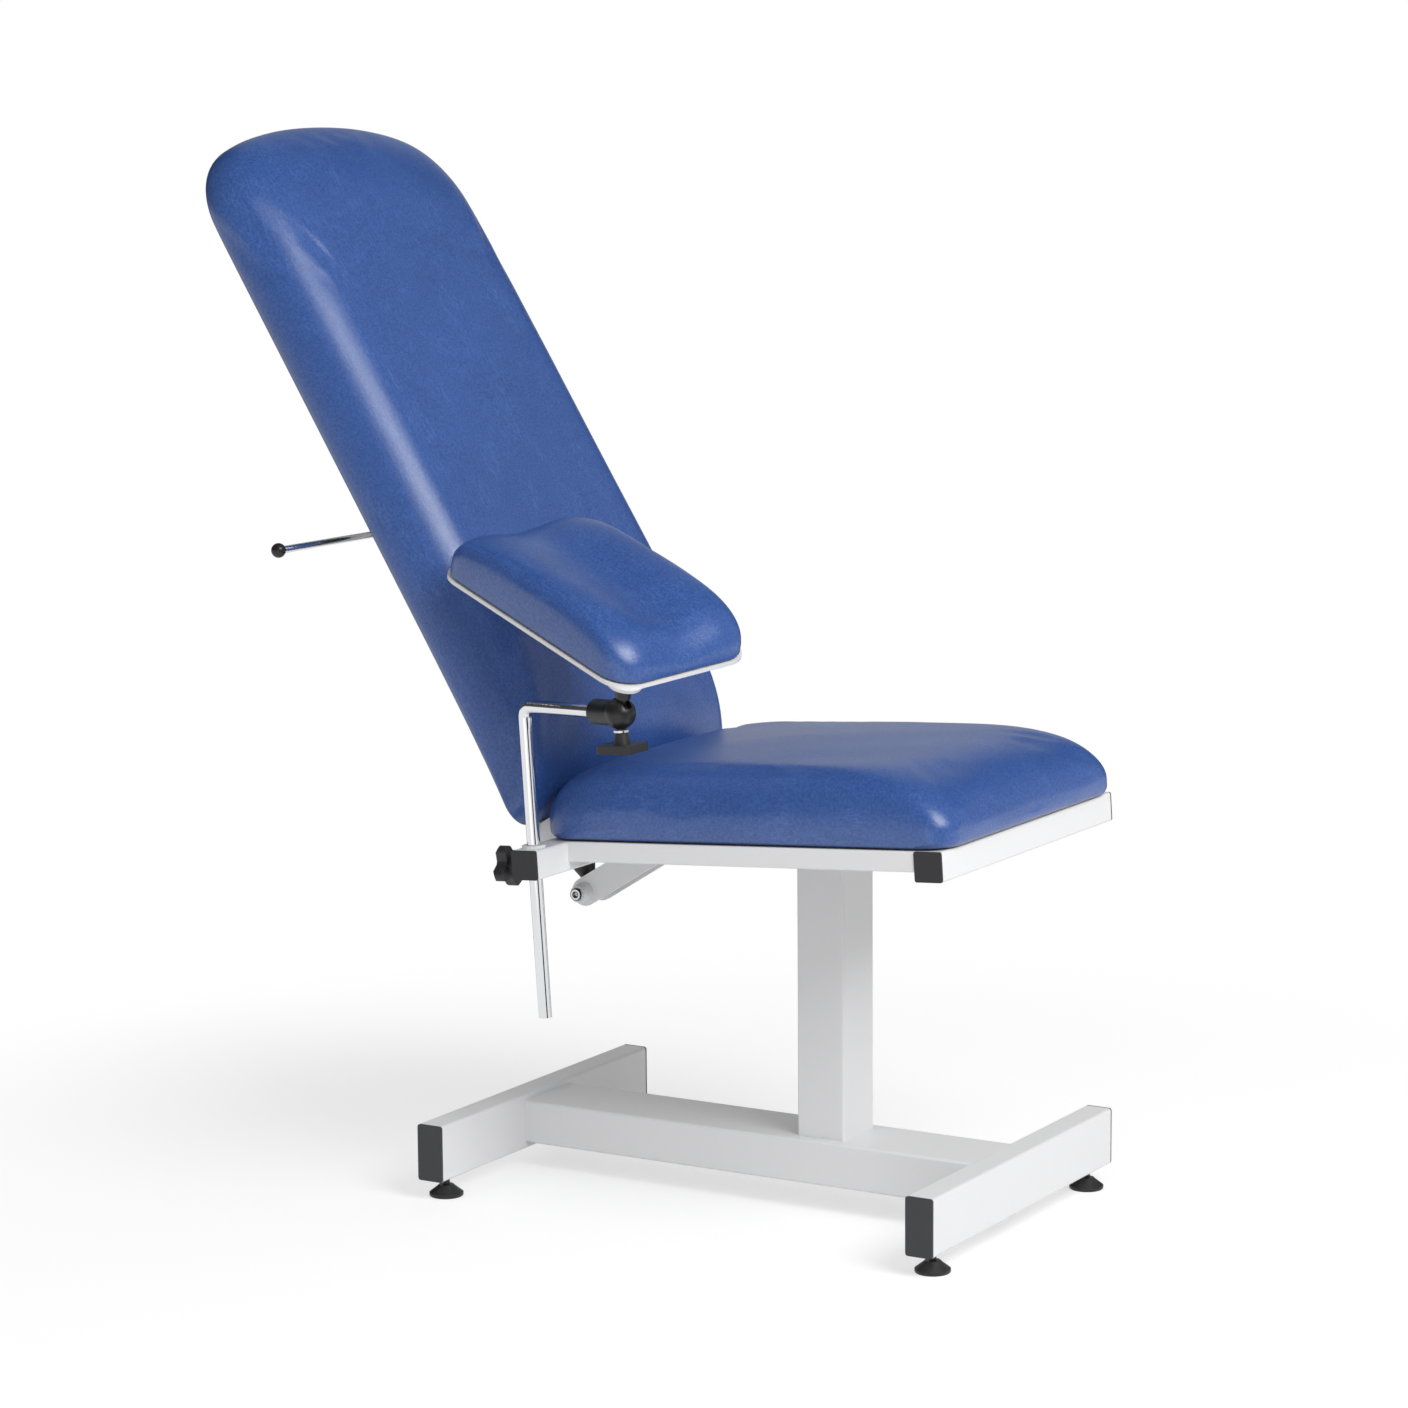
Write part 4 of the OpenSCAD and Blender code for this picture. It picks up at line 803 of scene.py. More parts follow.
@dataclass
class Cushion:
    """A foam cushion in a pulled cover: formed skin, inflated a little, then smoothed."""

    places: Places
    finishes: Finishes
    name: str = ""
    node: str = ""
    body: Body = Body.FRAME
    fill: float = 0.9
    crown: float = 0.0
    crown_power: float = 1.5
    inner_rings: int = 26
    inner_end: float = 0.04
    underside: tuple[Point, ...] = ((0.3, 1.9), (0.6, 1.9), (0.85, 1.9), (0.96, 1.6), (0.99, 0.4))
    swell: float = 2.5
    # Height of the band along the tucked edge that is drawn with painted shade; the pinned stretch fades out
    # above it.
    seam_height: float = 3.0
    pinned_height: float = 8.0
    held_height: float = 30.0
    relaxing: int = 14
    quality: int = 5
    mass: float = 0.3
    stretch_stiffness: float = 25.0
    bending_stiffness: float = 4.0
    pressure: float = 3.0

    def rings(self) -> Rings:
        """Rings of the skin from the bottom to the crown, in millimetres and in its own axes."""
        raise NotImplementedError

    def matrix(self) -> Matrix:
        """Where the cushion's own axes stand."""
        raise NotImplementedError

    def _underside(self, first: np.ndarray) -> Rings:
        """Rings from the middle of the underside, drawn in behind the board, out to its edge ring.

        Args:
            first: The edge ring.

        Returns:
            The rings.
        """
        centre = first.mean(0)
        rings = []
        for share, lift in self.underside:
            ring = centre + (first - centre) * share
            ring[:, 2] += lift
            rings.append(ring)
        return rings

    def _relaxed(self, rings: Rings) -> Rings:
        """Evens the skin out above its wall, so that its roundings run into each other.

        Args:
            rings: The skin's rings.

        Returns:
            The evened rings.
        """
        grid = np.array(rings)
        for _ in range(self.relaxing):
            even = (np.roll(grid, 1, 1) + np.roll(grid, -1, 1)) / 4
            even[1:-1] += (grid[:-2] + grid[2:]) / 4
            even[[0, -1]] += grid[[0, -1]] / 2
            grid += (even - grid) * grown(grid[:, :, 2:], self.held_height, self.held_height)
        return list(grid)

    def _crowned(self, last: np.ndarray) -> Rings:
        """Rings from the end of the edge's rounding in to a low crown that starts level.

        Args:
            last: The ring at the end of the rounding.

        Returns:
            The rings.
        """
        low, high = last.min(0), last.max(0)
        middle, half = (low + high) / 2, (high - low) / 2
        rings = []
        for share in self.inner_shares():
            ring = last.copy()
            ring[:, :2] = middle[:2] + (ring[:, :2] - middle[:2]) * share
            away = ((ring[:, :2] - middle[:2]) / half[:2]) ** 2
            ring[:, 2] += self.crown * np.prod(np.maximum(1 - away, 0), axis=1) ** self.crown_power
            rings.append(ring)
        return rings

    def inner_shares(self) -> np.ndarray:
        """Shares to which the rings inside the edge's rounding shrink, one after the other."""
        return np.linspace(1, self.inner_end, self.inner_rings)[1:]

    def folds(self, points: np.ndarray) -> np.ndarray:
        """How far the cover stands proud at points of the skin, in millimetres."""
        raise NotImplementedError

    def form(self) -> bpy.types.Object:
        """Makes the formed skin, before the foam swells it.

        Returns:
            The piece, in its own axes and in metres.
        """
        piece = bpy.data.objects.new(self.name, self._skin(self._relaxed(self.rings())))
        bpy.context.scene.collection.objects.link(piece)
        self._mark(piece)
        piece.data.transform(Matrix.Scale(MM, 4))
        return piece

    def finish(self, piece: bpy.types.Object) -> bpy.types.Object:
        """Args:
            piece: The skin from form, swelled or not.

        Returns:
            The finished piece.
        """
        mesh = piece.data
        mesh.transform(Matrix.Scale(1 / MM, 4))
        self._crease(piece)
        own = mesh.attributes.new("own", "FLOAT_VECTOR", "POINT")
        own.data.foreach_set("vector", np.array([vertex.co * MM for vertex in mesh.vertices]).ravel())
        mesh.transform(self.matrix())
        mesh.transform(Matrix.Scale(MM, 4))
        mesh.materials.append(self.finishes.leatherette)
        for face in mesh.polygons:
            face.use_smooth = True
        smooth = piece.modifiers.new("Smooth skin", "SUBSURF")
        smooth.levels = smooth.render_levels = 1
        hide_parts(self.node)
        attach(piece, self.body.value)
        log.info("%s: %d faces", self.name, len(mesh.polygons))
        return piece

    def _skin(self, rings: Rings) -> bpy.types.Mesh:
        """Closes the rings into one skin with a fan at each end.

        Args:
            rings: The skin's rings, from the bottom to the top.

        Returns:
            The skin.
        """
        count, levels = len(rings[0]), len(rings)
        points = np.vstack(rings + [rings[0].mean(0)[None], rings[-1].mean(0)[None]])
        low, high = count * levels, count * levels + 1
        faces: list[tuple[int, ...]] = []
        for level in range(levels - 1):
            here, above = level * count, (level + 1) * count
            for i in range(count):
                j = (i + 1) % count
                faces.append((here + i, here + j, above + j, above + i))
        last = (levels - 1) * count
        for i in range(count):
            j = (i + 1) % count
            faces.append((j, i, low))
            faces.append((last + i, last + j, high))
        mesh = bpy.data.meshes.new(self.name)
        mesh.from_pydata(points.tolist(), [], faces)
        mesh.update()
        return mesh

    def _mark(self, piece: bpy.types.Object) -> None:
        """Marks the low band along the tucked edge that gets painted shade, and the stretch that stays
        pinned to the board.

        Args:
            piece: The skin, in its own axes and in millimetres.
        """
        heights = np.array([vertex.co.z for vertex in piece.data.vertices])
        # Painted shade: points of the skin below this band's height get the near-black tucked-edge colour.
        seam = piece.data.attributes.new("seam", "FLOAT", "POINT")
        seam.data.foreach_set("value", (heights < self.seam_height).astype(np.float32))
        group = piece.vertex_groups.new(name="pinned")
        for index, height in enumerate(heights):
            weight = float(np.clip(1 - (height - self.seam_height) / self.pinned_height, 0, 1))
            if weight > 0:
                group.add([index], weight, "REPLACE")

    def press(self, piece: bpy.types.Object) -> bpy.types.Modifier:
        """Puts the foam's pressure behind the skin, for the simulation to run.

        Args:
            piece: The skin.

        Returns:
            The cloth modifier.
        """
        cloth = piece.modifiers.new("Foam pressure", "CLOTH")
        cloth.settings.quality = self.quality
        cloth.settings.mass = self.mass
        cloth.settings.tension_stiffness = self.stretch_stiffness
        cloth.settings.compression_stiffness = self.stretch_stiffness
        cloth.settings.bending_stiffness = self.bending_stiffness
        cloth.settings.use_pressure = True
        cloth.settings.uniform_pressure_force = self.pressure
        cloth.settings.vertex_group_mass = "pinned"
        cloth.settings.effector_weights.gravity = 0
        cloth.collision_settings.use_collision = False
        return cloth

    def settle(self, piece: bpy.types.Object, cloth: bpy.types.Modifier) -> None:
        """Keeps the swelled shape, and caps how far each point moves.

        Args:
            piece: The skin, after the last frame.
            cloth: Its cloth modifier.
        """
        rest = np.array([vertex.co for vertex in piece.data.vertices])
        shaped = piece.evaluated_get(bpy.context.evaluated_depsgraph_get())
        moved = np.array([vertex.co for vertex in shaped.data.vertices]) - rest
        piece.modifiers.remove(cloth)
        length = np.linalg.norm(moved, axis=1, keepdims=True)
        cap = self.swell * MM
        eased = moved / np.maximum(length, 1e-9) * cap * np.tanh(length / cap)
        piece.data.vertices.foreach_set("co", (rest + eased).astype(np.float32).ravel())
        log.info("%s: swelled by up to %.1f mm", self.name, float(length.max()) / MM)

    def _crease(self, piece: bpy.types.Object) -> None:
        """Moves the skin along its normals by the cover's folds.

        Args:
            piece: The skin, in its own axes and in millimetres.
        """
        mesh = piece.data
        mesh.update()
        points = np.array([vertex.co for vertex in mesh.vertices])
        normals = np.array([normal.vector for normal in mesh.vertex_normals])
        shaped = points + normals * self.folds(points)[:, None]
        mesh.vertices.foreach_set("co", shaped.astype(np.float32).ravel())
        mesh.update()


def upholster(cushions: list[Cushion], frames: int = 12) -> None:
    """Forms the cushions, lets their foam swell the covers in one simulation, and finishes them.

    Args:
        cushions: The cushions to make.
        frames: How many frames the simulation runs.
    """
    pieces = [cushion.form() for cushion in cushions]
    cloths = [cushion.press(piece) for cushion, piece in zip(cushions, pieces)]
    for step in range(frames + 1):
        bpy.context.scene.frame_set(step)
    for cushion, piece, cloth in zip(cushions, pieces, cloths):
        cushion.settle(piece, cloth)
    bpy.context.scene.frame_set(1)
    for cushion, piece in zip(cushions, pieces):
        cushion.finish(piece)


@dataclass
class SeatCushion(Cushion):
    """The seat: a deep block with a round front."""

    name: str = "seat_cushion_cover"
    node: str = "seat_cushion"
    width: float = 514.0
    front: float = -30.0
    rear: float = 592.5
    height: float = 110.0
    crown: float = 9.0
    gap: float = 0.3
    tuck: float = 12.0
    side_round: float = 50.0
    front_round: float = 140.0
    rear_round: float = 76.0
    side_fall: float = 55.0
    front_fall: float = 75.0
    rear_fall: float = 65.0
    corner: float = 40.0
    inner_corner: float = 62.0
    front_spread: float = 1.25
    rear_spread: float = 1.4
    loop_steps: tuple[int, int, int] = (28, 34, 12)
    tuck_rings: int = 7
    wall_steps: int = 6
    roll_rings: int = 19
    waves: Waves = Waves(0.5, (61.0, 83.0), (1.3, 0.4), 0.25, (27.0, 39.0))
    waves_from: float = 30.0
    waves_reach: float = 40.0
    pull: float = 0.9
    pull_length: float = 4.2
    pull_inset: Point = (30.0, 40.0)
    pull_reach: float = 45.0

    def matrix(self) -> Matrix:
        """The seat frame's axes."""
        return self.places.seat()

    def _loop(self, side: float, front: float, rear: float, corner: float) -> np.ndarray:
        """Plan loop drawn in from the sides, the front and the rear.

        Args:
            side: How far each side is drawn in.
            front: How far the front is drawn in.
            rear: How far the rear is drawn in.
            corner: Radius of the corners.

        Returns:
            The loop's points.
        """
        half = self.width / 2 - side
        return rounded_loop((-half, self.front + front), (half, self.rear - rear), corner,
                            self.loop_steps)

    def _fall(self, y: np.ndarray) -> np.ndarray:
        """Depth of the edge's rounding along the seat.

        Args:
            y: Places along the seat.

        Returns:
            The depths in millimetres.
        """
        return (self.side_fall
                + (self.front_fall - self.side_fall)
                * fade(y - self.front, self.front_spread * self.front_round)
                + (self.rear_fall - self.side_fall)
                * fade(self.rear - y, self.rear_spread * self.rear_round))

    def _roll(self, degrees: float) -> np.ndarray:
        """Ring part way round the top edge.

        Args:
            degrees: How far round, from 0 to 90.

        Returns:
            The ring.
        """
        drawn, left = quarter(degrees)
        loop = self._loop(self.side_round * drawn, self.front_round * drawn, self.rear_round * drawn,
                          self.corner + (self.inner_corner - self.corner) * drawn)
        return raise_loop(loop, self.height - self.crown - self._fall(loop[:, 1]) * left)

    def rings(self) -> Rings:
        """Tuck, wall, top edge and crown.

        Returns:
            The skin's rings, from the bottom to the top.
        """
        tucks = []
        for degrees in np.linspace(0, 90, self.tuck_rings):
            risen, left = quarter(degrees)
            drawn = self.tuck * left
            tucks.append(raise_loop(self._loop(drawn, drawn, drawn, self.corner),
                                    self.gap + self.tuck * risen))
        rolls = [self._roll(degrees) for degrees in np.linspace(0, 90, self.roll_rings)]
        walls = ramp(tucks[-1], rolls[0], self.wall_steps)
        return self._underside(tucks[0]) + tucks + walls + rolls + self._crowned(rolls[-1])

    def folds(self, points: np.ndarray) -> np.ndarray:
        """Soft waves over the top and pulls at the lower corners.

        Args:
            points: Points of the skin, in its own axes and in millimetres.

        Returns:
            How far each point stands proud.
        """
        x, y, z = points.T
        wave = self.waves.over(x, y) * grown(z, self.waves_from, self.waves_reach)
        side, end = self.pull_inset
        corner_x = np.abs(np.abs(x) - self.width / 2 + side)
        corner_y = np.minimum(np.abs(y - self.front - end), np.abs(self.rear - end - y))
        close = np.exp(-(corner_x ** 2 + corner_y ** 2) / self.pull_reach ** 2)
        close *= np.clip(1 - z / self.pull_reach, 0, 1)
        pull = self.pull * np.sin((x + y) / self.pull_length) * close * grown(z, 0.0, self.tuck / 2)
        return wave + pull


@dataclass
class BackCushion(Cushion):
    """The back: a long slab with an arched top and a rounded foot."""

    name: str = "back_cushion_cover"
    node: str = "back_cushion"
    body: Body = Body.BACK
    length: float = 1073.0
    width: float = 546.0
    height: float = 112.0
    crown: float = 3.0
    edge: float = 26.0
    wall_share: float = 0.7
    side_round: float = 76.0
    low_reach: float = 250.0
    low_fall: float = 106.0
    high_reach: float = 160.0
    high_fall: float = 50.0
    shoulder: float = 114.0
    top: float = 800.0
    foot: float = 35.0
    inner_foot: float = 5.0
    low_spread: float = 1.24
    high_spread: float = 1.375
    edge_rings: int = 6
    wall_steps: int = 7
    roll_rings: int = 23
    waves: Waves = Waves(0.5, (70.0, 95.0), (0.6, 1.1), 0.2, (31.0, -52.0))
    waves_from: float = 12.0
    waves_reach: float = 50.0

    def matrix(self) -> Matrix:
        """The back's axes."""
        return self.places.back()

    def _fall(self, up: np.ndarray) -> np.ndarray:
        """Depth of the edge's rounding along the back.

        Args:
            up: Places up the back.

        Returns:
            The depths in millimetres.
        """
        return (self.side_round
                + (self.low_fall - self.side_round) * fade(up, self.low_spread * self.low_reach)
                + (self.high_fall - self.side_round)
                * fade(self.length - up, self.high_spread * self.high_reach))

    def _roll(self, degrees: float) -> np.ndarray:
        """Ring part way round the front edge.

        Args:
            degrees: How far round, from 0 to 90.

        Returns:
            The ring.
        """
        drawn, left = quarter(degrees)
        loop = arch_loop(self.width / 2 - self.side_round * drawn, self.low_reach * drawn,
                         self.length - self.high_reach * drawn,
                         self.shoulder - (self.side_round - self.edge) * drawn,
                         self.top - self.side_round * drawn,
                         self.foot - (self.foot - self.inner_foot) * drawn)
        return raise_loop(loop, self.height - self.crown - self._fall(loop[:, 1]) * left)

    def _edge(self, degrees: float) -> np.ndarray:
        """Ring part way round the rear edge.

        Args:
            degrees: How far round, from 0 to 90.

        Returns:
            The ring.
        """
        risen, left = quarter(degrees)
        drawn = self.edge * left
        loop = arch_loop(self.width / 2 - drawn, drawn, self.length - drawn, self.shoulder - drawn,
                         self.top - drawn, self.foot - drawn)
        wall = self.height - self.crown - self._fall(loop[:, 1])
        high = np.minimum(self.edge, self.wall_share * wall)
        return raise_loop(loop, high * risen)

    def rings(self) -> Rings:
        """Rear edge, wall, front edge and crown.

        Returns:
            The skin's rings, from the rear to the front.
        """
        edges = [self._edge(degrees) for degrees in np.linspace(0, 90, self.edge_rings)]
        rolls = [self._roll(degrees) for degrees in np.linspace(0, 90, self.roll_rings)]
        walls = ramp(edges[-1], rolls[0], self.wall_steps)
        return self._underside(edges[0]) + edges + walls + rolls[1:] + self._crowned(rolls[-1])

    def folds(self, points: np.ndarray) -> np.ndarray:
        """Very soft waves where the cover is pulled over the long foam."""
        x, y, z = points.T
        return self.waves.over(x, y) * grown(z, self.waves_from, self.waves_reach)


@dataclass
class PadCushion(Cushion):
    """The arm pad: two long ridges with a trough between, open at both ends."""

    name: str = "pad_cushion_cover"
    node: str = "pad_cushion"
    body: Body = Body.PAD
    length: float = 384.0
    width: float = 237.0
    height: float = 70.0
    trough: float = 12.0
    ridge: float = 36.0
    stem_inset: float = 31.0
    stem_behind: float = 24.0
    board: float = 5.0
    line: float = 0.3
    inset: float = 1.5
    tuck: float = 3.0
    side_fall: float = 18.0
    near_round: float = 135.0
    near_fall: float = 65.0
    far_round: float = 105.0
    far_fall: float = 56.0
    corner: float = 42.0
    inner_corner: float = 62.0
    inner_rings: int = 20
    inner_end: float = 0.05
    end_spread: float = 1.4
    loop_steps: tuple[int, int, int] = (26, 30, 10)
    wall_steps: int = 4
    roll_rings: int = 17
    waves: Waves = Waves(0.22, (23.0, 41.0), (0.5, 0.0))
    waves_from: float = 8.0
    waves_reach: float = 20.0
    dish: float = 8.0
    dish_from: float = 30.0
    dish_reach: float = 15.0
    dish_width: float = 44.0
    dish_near: float = 26.0
    dish_far: float = 110.0
    lip: float = 78.0
    relaxing: int = 4
    swell: float = 1.2
    pinned_height: float = 5.0
    seam_height: float = 2.0

    def matrix(self) -> Matrix:
        """The pad's axes, at the middle of its board's top.

        Returns:
            The axes as a matrix.
        """
        shift = (self.width / 2 - self.stem_inset, self.length / 2 - self.stem_behind,
                 self.places.pad_up + self.board + self.line)
        return self.places.pad() @ Matrix.Translation(shift)

    def _top(self, x: np.ndarray) -> np.ndarray:
        """Height of the pad across its width.

        Args:
            x: Places across the pad.

        Returns:
            The heights in millimetres.
        """
        reach = self.width / 2 - self.ridge
        dip = self.trough * (1 + np.cos(np.pi * x / reach)) / 2
        return np.where(np.abs(x) >= reach, self.height, self.height - dip)

    def _fall(self, y: np.ndarray) -> np.ndarray:
        """Depth of the edge's rounding along the pad, for a pad of full height.

        Args:
            y: Places along the pad.

        Returns:
            The depths in millimetres.
        """
        near = fade(self.length / 2 + y, self.end_spread * self.near_round)
        far = fade(self.length / 2 - y, self.end_spread * self.far_round)
        return (self.side_fall + (self.near_fall - self.side_fall) * near
                + (self.far_fall - self.side_fall) * far)

    def _loop(self, side: float, near: float, far: float, corner: float) -> np.ndarray:
        """Plan loop drawn in from the sides and from the two ends.

        Args:
            side: How far each side is drawn in.
            near: How far the near end is drawn in.
            far: How far the far end is drawn in.
            corner: Radius of the corners.

        Returns:
            The loop's points.
        """
        low = (-self.width / 2 + side, -self.length / 2 + near)
        high = (self.width / 2 - side, self.length / 2 - far)
        return rounded_loop(low, high, corner, self.loop_steps)

    def _roll(self, degrees: float) -> np.ndarray:
        """Ring part way round the top edge.

        Args:
            degrees: How far round, from 0 to 90.

        Returns:
            The ring.
        """
        drawn, left = quarter(degrees)
        loop = self._loop(self.inset + (self.ridge - self.inset) * drawn,
                          self.inset + (self.near_round - self.inset) * drawn,
                          self.inset + (self.far_round - self.inset) * drawn,
                          self.corner + (self.inner_corner - self.corner) * drawn)
        left /= self.height
        return raise_loop(loop, self._top(loop[:, 0]) * (1 - self._fall(loop[:, 1]) * left))

    def rings(self) -> Rings:
        """Tuck, wall, top edge and trough.

        Returns:
            The skin's rings, from the bottom to the top.
        """
        feet = []
        for share in (0.0, 0.5, 1.0):
            drawn = self.inset + self.tuck * (1 - share) ** 2
            feet.append(raise_loop(self._loop(drawn, drawn, drawn, self.corner), self.tuck * share))
        rolls = [self._roll(degrees) for degrees in np.linspace(0, 90, self.roll_rings)]
        walls = ramp(feet[-1], rolls[0], self.wall_steps)
        middle = (self.near_round - self.far_round) / 2
        inner = []
        for share in self.inner_shares():
            ring = rolls[-1].copy()
            ring[:, 0] *= share
            ring[:, 1] = middle + (ring[:, 1] - middle) * share
            ring[:, 2] = self._top(ring[:, 0])
            inner.append(ring)
        return self._underside(feet[0]) + feet + walls + rolls + inner

    def folds(self, points: np.ndarray) -> np.ndarray:
        """Faint unevenness of the cover, and the trough pressed deeper behind the near lip.

        Args:
            points: Points of the skin, in its own axes and in millimetres.

        Returns:
            How far each point stands proud.
        """
        x, y, z = points.T
        uneven = self.waves.over(x, y) * grown(z, self.waves_from, self.waves_reach)
        behind = y + self.length / 2 - self.lip
        along = np.exp(-(behind / np.where(behind < 0, self.dish_near, self.dish_far)) ** 2)
        across = np.exp(-(x / self.dish_width) ** 2)
        return uneven - self.dish * along * across * grown(z, self.dish_from, self.dish_reach)


@dataclass
class LiningStaples:
    """Wire staples that hold the lining along a board's edge, made with Geometry Nodes."""

    places: Places
    finishes: Finishes
    name: str = ""
    body: Body = Body.BACK
    half_width: float = 221.0
    low: float = 36.0
    high: float = 1030.0
    corner: float = 52.0
    spacing: float = 38.0
    crown: float = 9.0
    wire: float = 0.9
    off_line: float = 0.16
    seed: int = 7

    def build(self) -> bpy.types.Object:
        """Makes the staples as one plain mesh.

        Returns:
            The finished piece.
        """
        loop = rounded_loop((-self.half_width, self.low), (self.half_width, self.high), self.corner,
                            (2, 2, 8))
        curve = bpy.data.curves.new(self.name + "_path", "CURVE")
        curve.dimensions = "3D"
        spline = curve.splines.new("POLY")
        spline.points.add(len(loop) - 1)
        for point, (x, y) in zip(spline.points, loop):
            point.co = (x * MM, y * MM, 0, 1)
        spline.use_cyclic_u = True
        path = bpy.data.objects.new(self.name + "_path", curve)
        bpy.context.scene.collection.objects.link(path)
        tree = self._tree()
        modifier = path.modifiers.new("Staples", "NODES")
        modifier.node_group = tree
        values = {"Spacing": self.spacing * MM, "Crown": self.crown * MM, "Wire": self.wire * MM}
        for item in tree.interface.items_tree:
            if item.item_type == "SOCKET" and item.in_out == "INPUT" and item.name in values:
                modifier[item.identifier] = values[item.name]
        evaluated = path.evaluated_get(bpy.context.evaluated_depsgraph_get())
        mesh = bpy.data.meshes.new_from_object(evaluated)
        bpy.data.objects.remove(path)
        matrix = self.places.back()
        matrix.translation = matrix.translation * MM
        mesh.transform(matrix)
        piece = bpy.data.objects.new(self.name, mesh)
        bpy.context.scene.collection.objects.link(piece)
        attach(piece, self.body.value)
        log.info("%s: %d faces", self.name, len(mesh.polygons))
        return piece

    def _tree(self) -> Tree:
        """Node tree: points along the path, one staple on each, turned a little off line.

        Returns:
            The tree.
        """
        tree = bpy.data.node_groups.new("Staples along an edge", "GeometryNodeTree")
        face = tree.interface
        face.new_socket("Geometry", in_out="INPUT", socket_type="NodeSocketGeometry")
        for label in ("Spacing", "Crown", "Wire"):
            face.new_socket(label, in_out="INPUT", socket_type="NodeSocketFloat")
        face.new_socket("Geometry", in_out="OUTPUT", socket_type="NodeSocketGeometry")
        kit = Nodes(tree)
        start = kit.add("NodeGroupInput").outputs
        points = kit.add("GeometryNodeCurveToPoints", mode="LENGTH", Curve=start["Geometry"],
                         Length=start["Spacing"]).outputs
        size = kit.add("ShaderNodeCombineXYZ", X=start["Wire"], Y=start["Wire"], Z=start["Crown"])
        bar = kit.add("GeometryNodeMeshCube", Size=size.outputs[0])
        jitter = kit.add("FunctionNodeRandomValue", data_type="FLOAT", Seed=self.seed)
        jitter.inputs[2].default_value = -self.off_line
        jitter.inputs[3].default_value = self.off_line
        spin = kit.add("ShaderNodeCombineXYZ", Z=jitter.outputs[1])
        euler = kit.add("FunctionNodeEulerToRotation")
        kit.join(spin.outputs[0], euler.inputs[0])
        turned = kit.add("FunctionNodeRotateRotation", rotation_space="GLOBAL",
                         Rotation=points["Rotation"], Rotate_By=euler.outputs[0])
        place = kit.add("GeometryNodeInstanceOnPoints", Points=points["Points"],
                        Instance=bar.outputs["Mesh"], Rotation=turned.outputs["Rotation"])
        real = kit.add("GeometryNodeRealizeInstances", Geometry=place.outputs["Instances"])
        dress = kit.add("GeometryNodeSetMaterial", Material=self.finishes.zinc,
                        Geometry=real.outputs["Geometry"])
        kit.add("NodeGroupOutput", Geometry=dress.outputs["Geometry"])
        return tree


@dataclass
class RigidPieces:
    """The rigid pieces, which keep their CAD shapes and get their finishes here, by finish."""

    plastic: tuple[str, ...] = ("spring_boot", "release_head", "release_ball", "ball_housing", "ball_stem")
    cap_plastic: tuple[str, ...] = ("leg_caps",)
    plug_plastic: tuple[str, ...] = ("front_bar_caps", "rear_tube_caps", "back_tube_caps", "cross_knob")
    knob_plastic: tuple[str, ...] = ("ball_knob",)
    foot_plastic: tuple[str, ...] = ("foot_front_right", "foot_front_left", "foot_rear_right",
                                     "foot_rear_left")
    chrome: tuple[str, ...] = ("arm_rod", "release_lever", "spring_rod")
    steel: tuple[str, ...] = ("clamp_ring", "spring_cylinder")
    turned: tuple[str, ...] = ("anchor_bolt",)
    zinc: tuple[str, ...] = ("foot_nuts", "head_bolts", "head_nuts", "hinge_bolts", "hinge_nuts",
                             "anchor_nut", "hinge_bushes", "spring_top_pin")
    lining: tuple[str, ...] = ("seat_board", "back_board")

    def dress(self, nodes: dict[str, bpy.types.Object], finishes: Finishes) -> None:
        """Gives every rigid piece its material; what isn't named is painted steel.

        Args:
            nodes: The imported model's pieces by name.
            finishes: The chair's finishes, under the names of this class's fields.
        """
        finish: dict[str, bpy.types.Material] = {}
        for kind in fields(self):
            finish.update(dict.fromkeys(getattr(self, kind.name), getattr(finishes, kind.name)))
        for name, piece in nodes.items():
            piece.data.materials.clear()
            piece.data.materials.append(finish.get(name, finishes.paint))
            log.info("%s: %s", name, piece.data.materials[0].name)


@dataclass(frozen=True)
class Lamp:
    """A square soft box aimed at a point."""

    name: str
    place: Place
    aim: Place
    size: float
    power: float

    def build(self) -> None:
        """Adds the lamp."""
        data = bpy.data.lights.new(self.name, "AREA")
        data.shape = "SQUARE"
        data.size = self.size
        data.energy = self.power
        lamp = bpy.data.objects.new(self.name, data)
        lamp.location = self.place
        direction = Vector(self.aim) - Vector(self.place)
        lamp.rotation_euler = direction.to_track_quat("-Z", "Y").to_euler()
        bpy.context.scene.collection.objects.link(lamp)


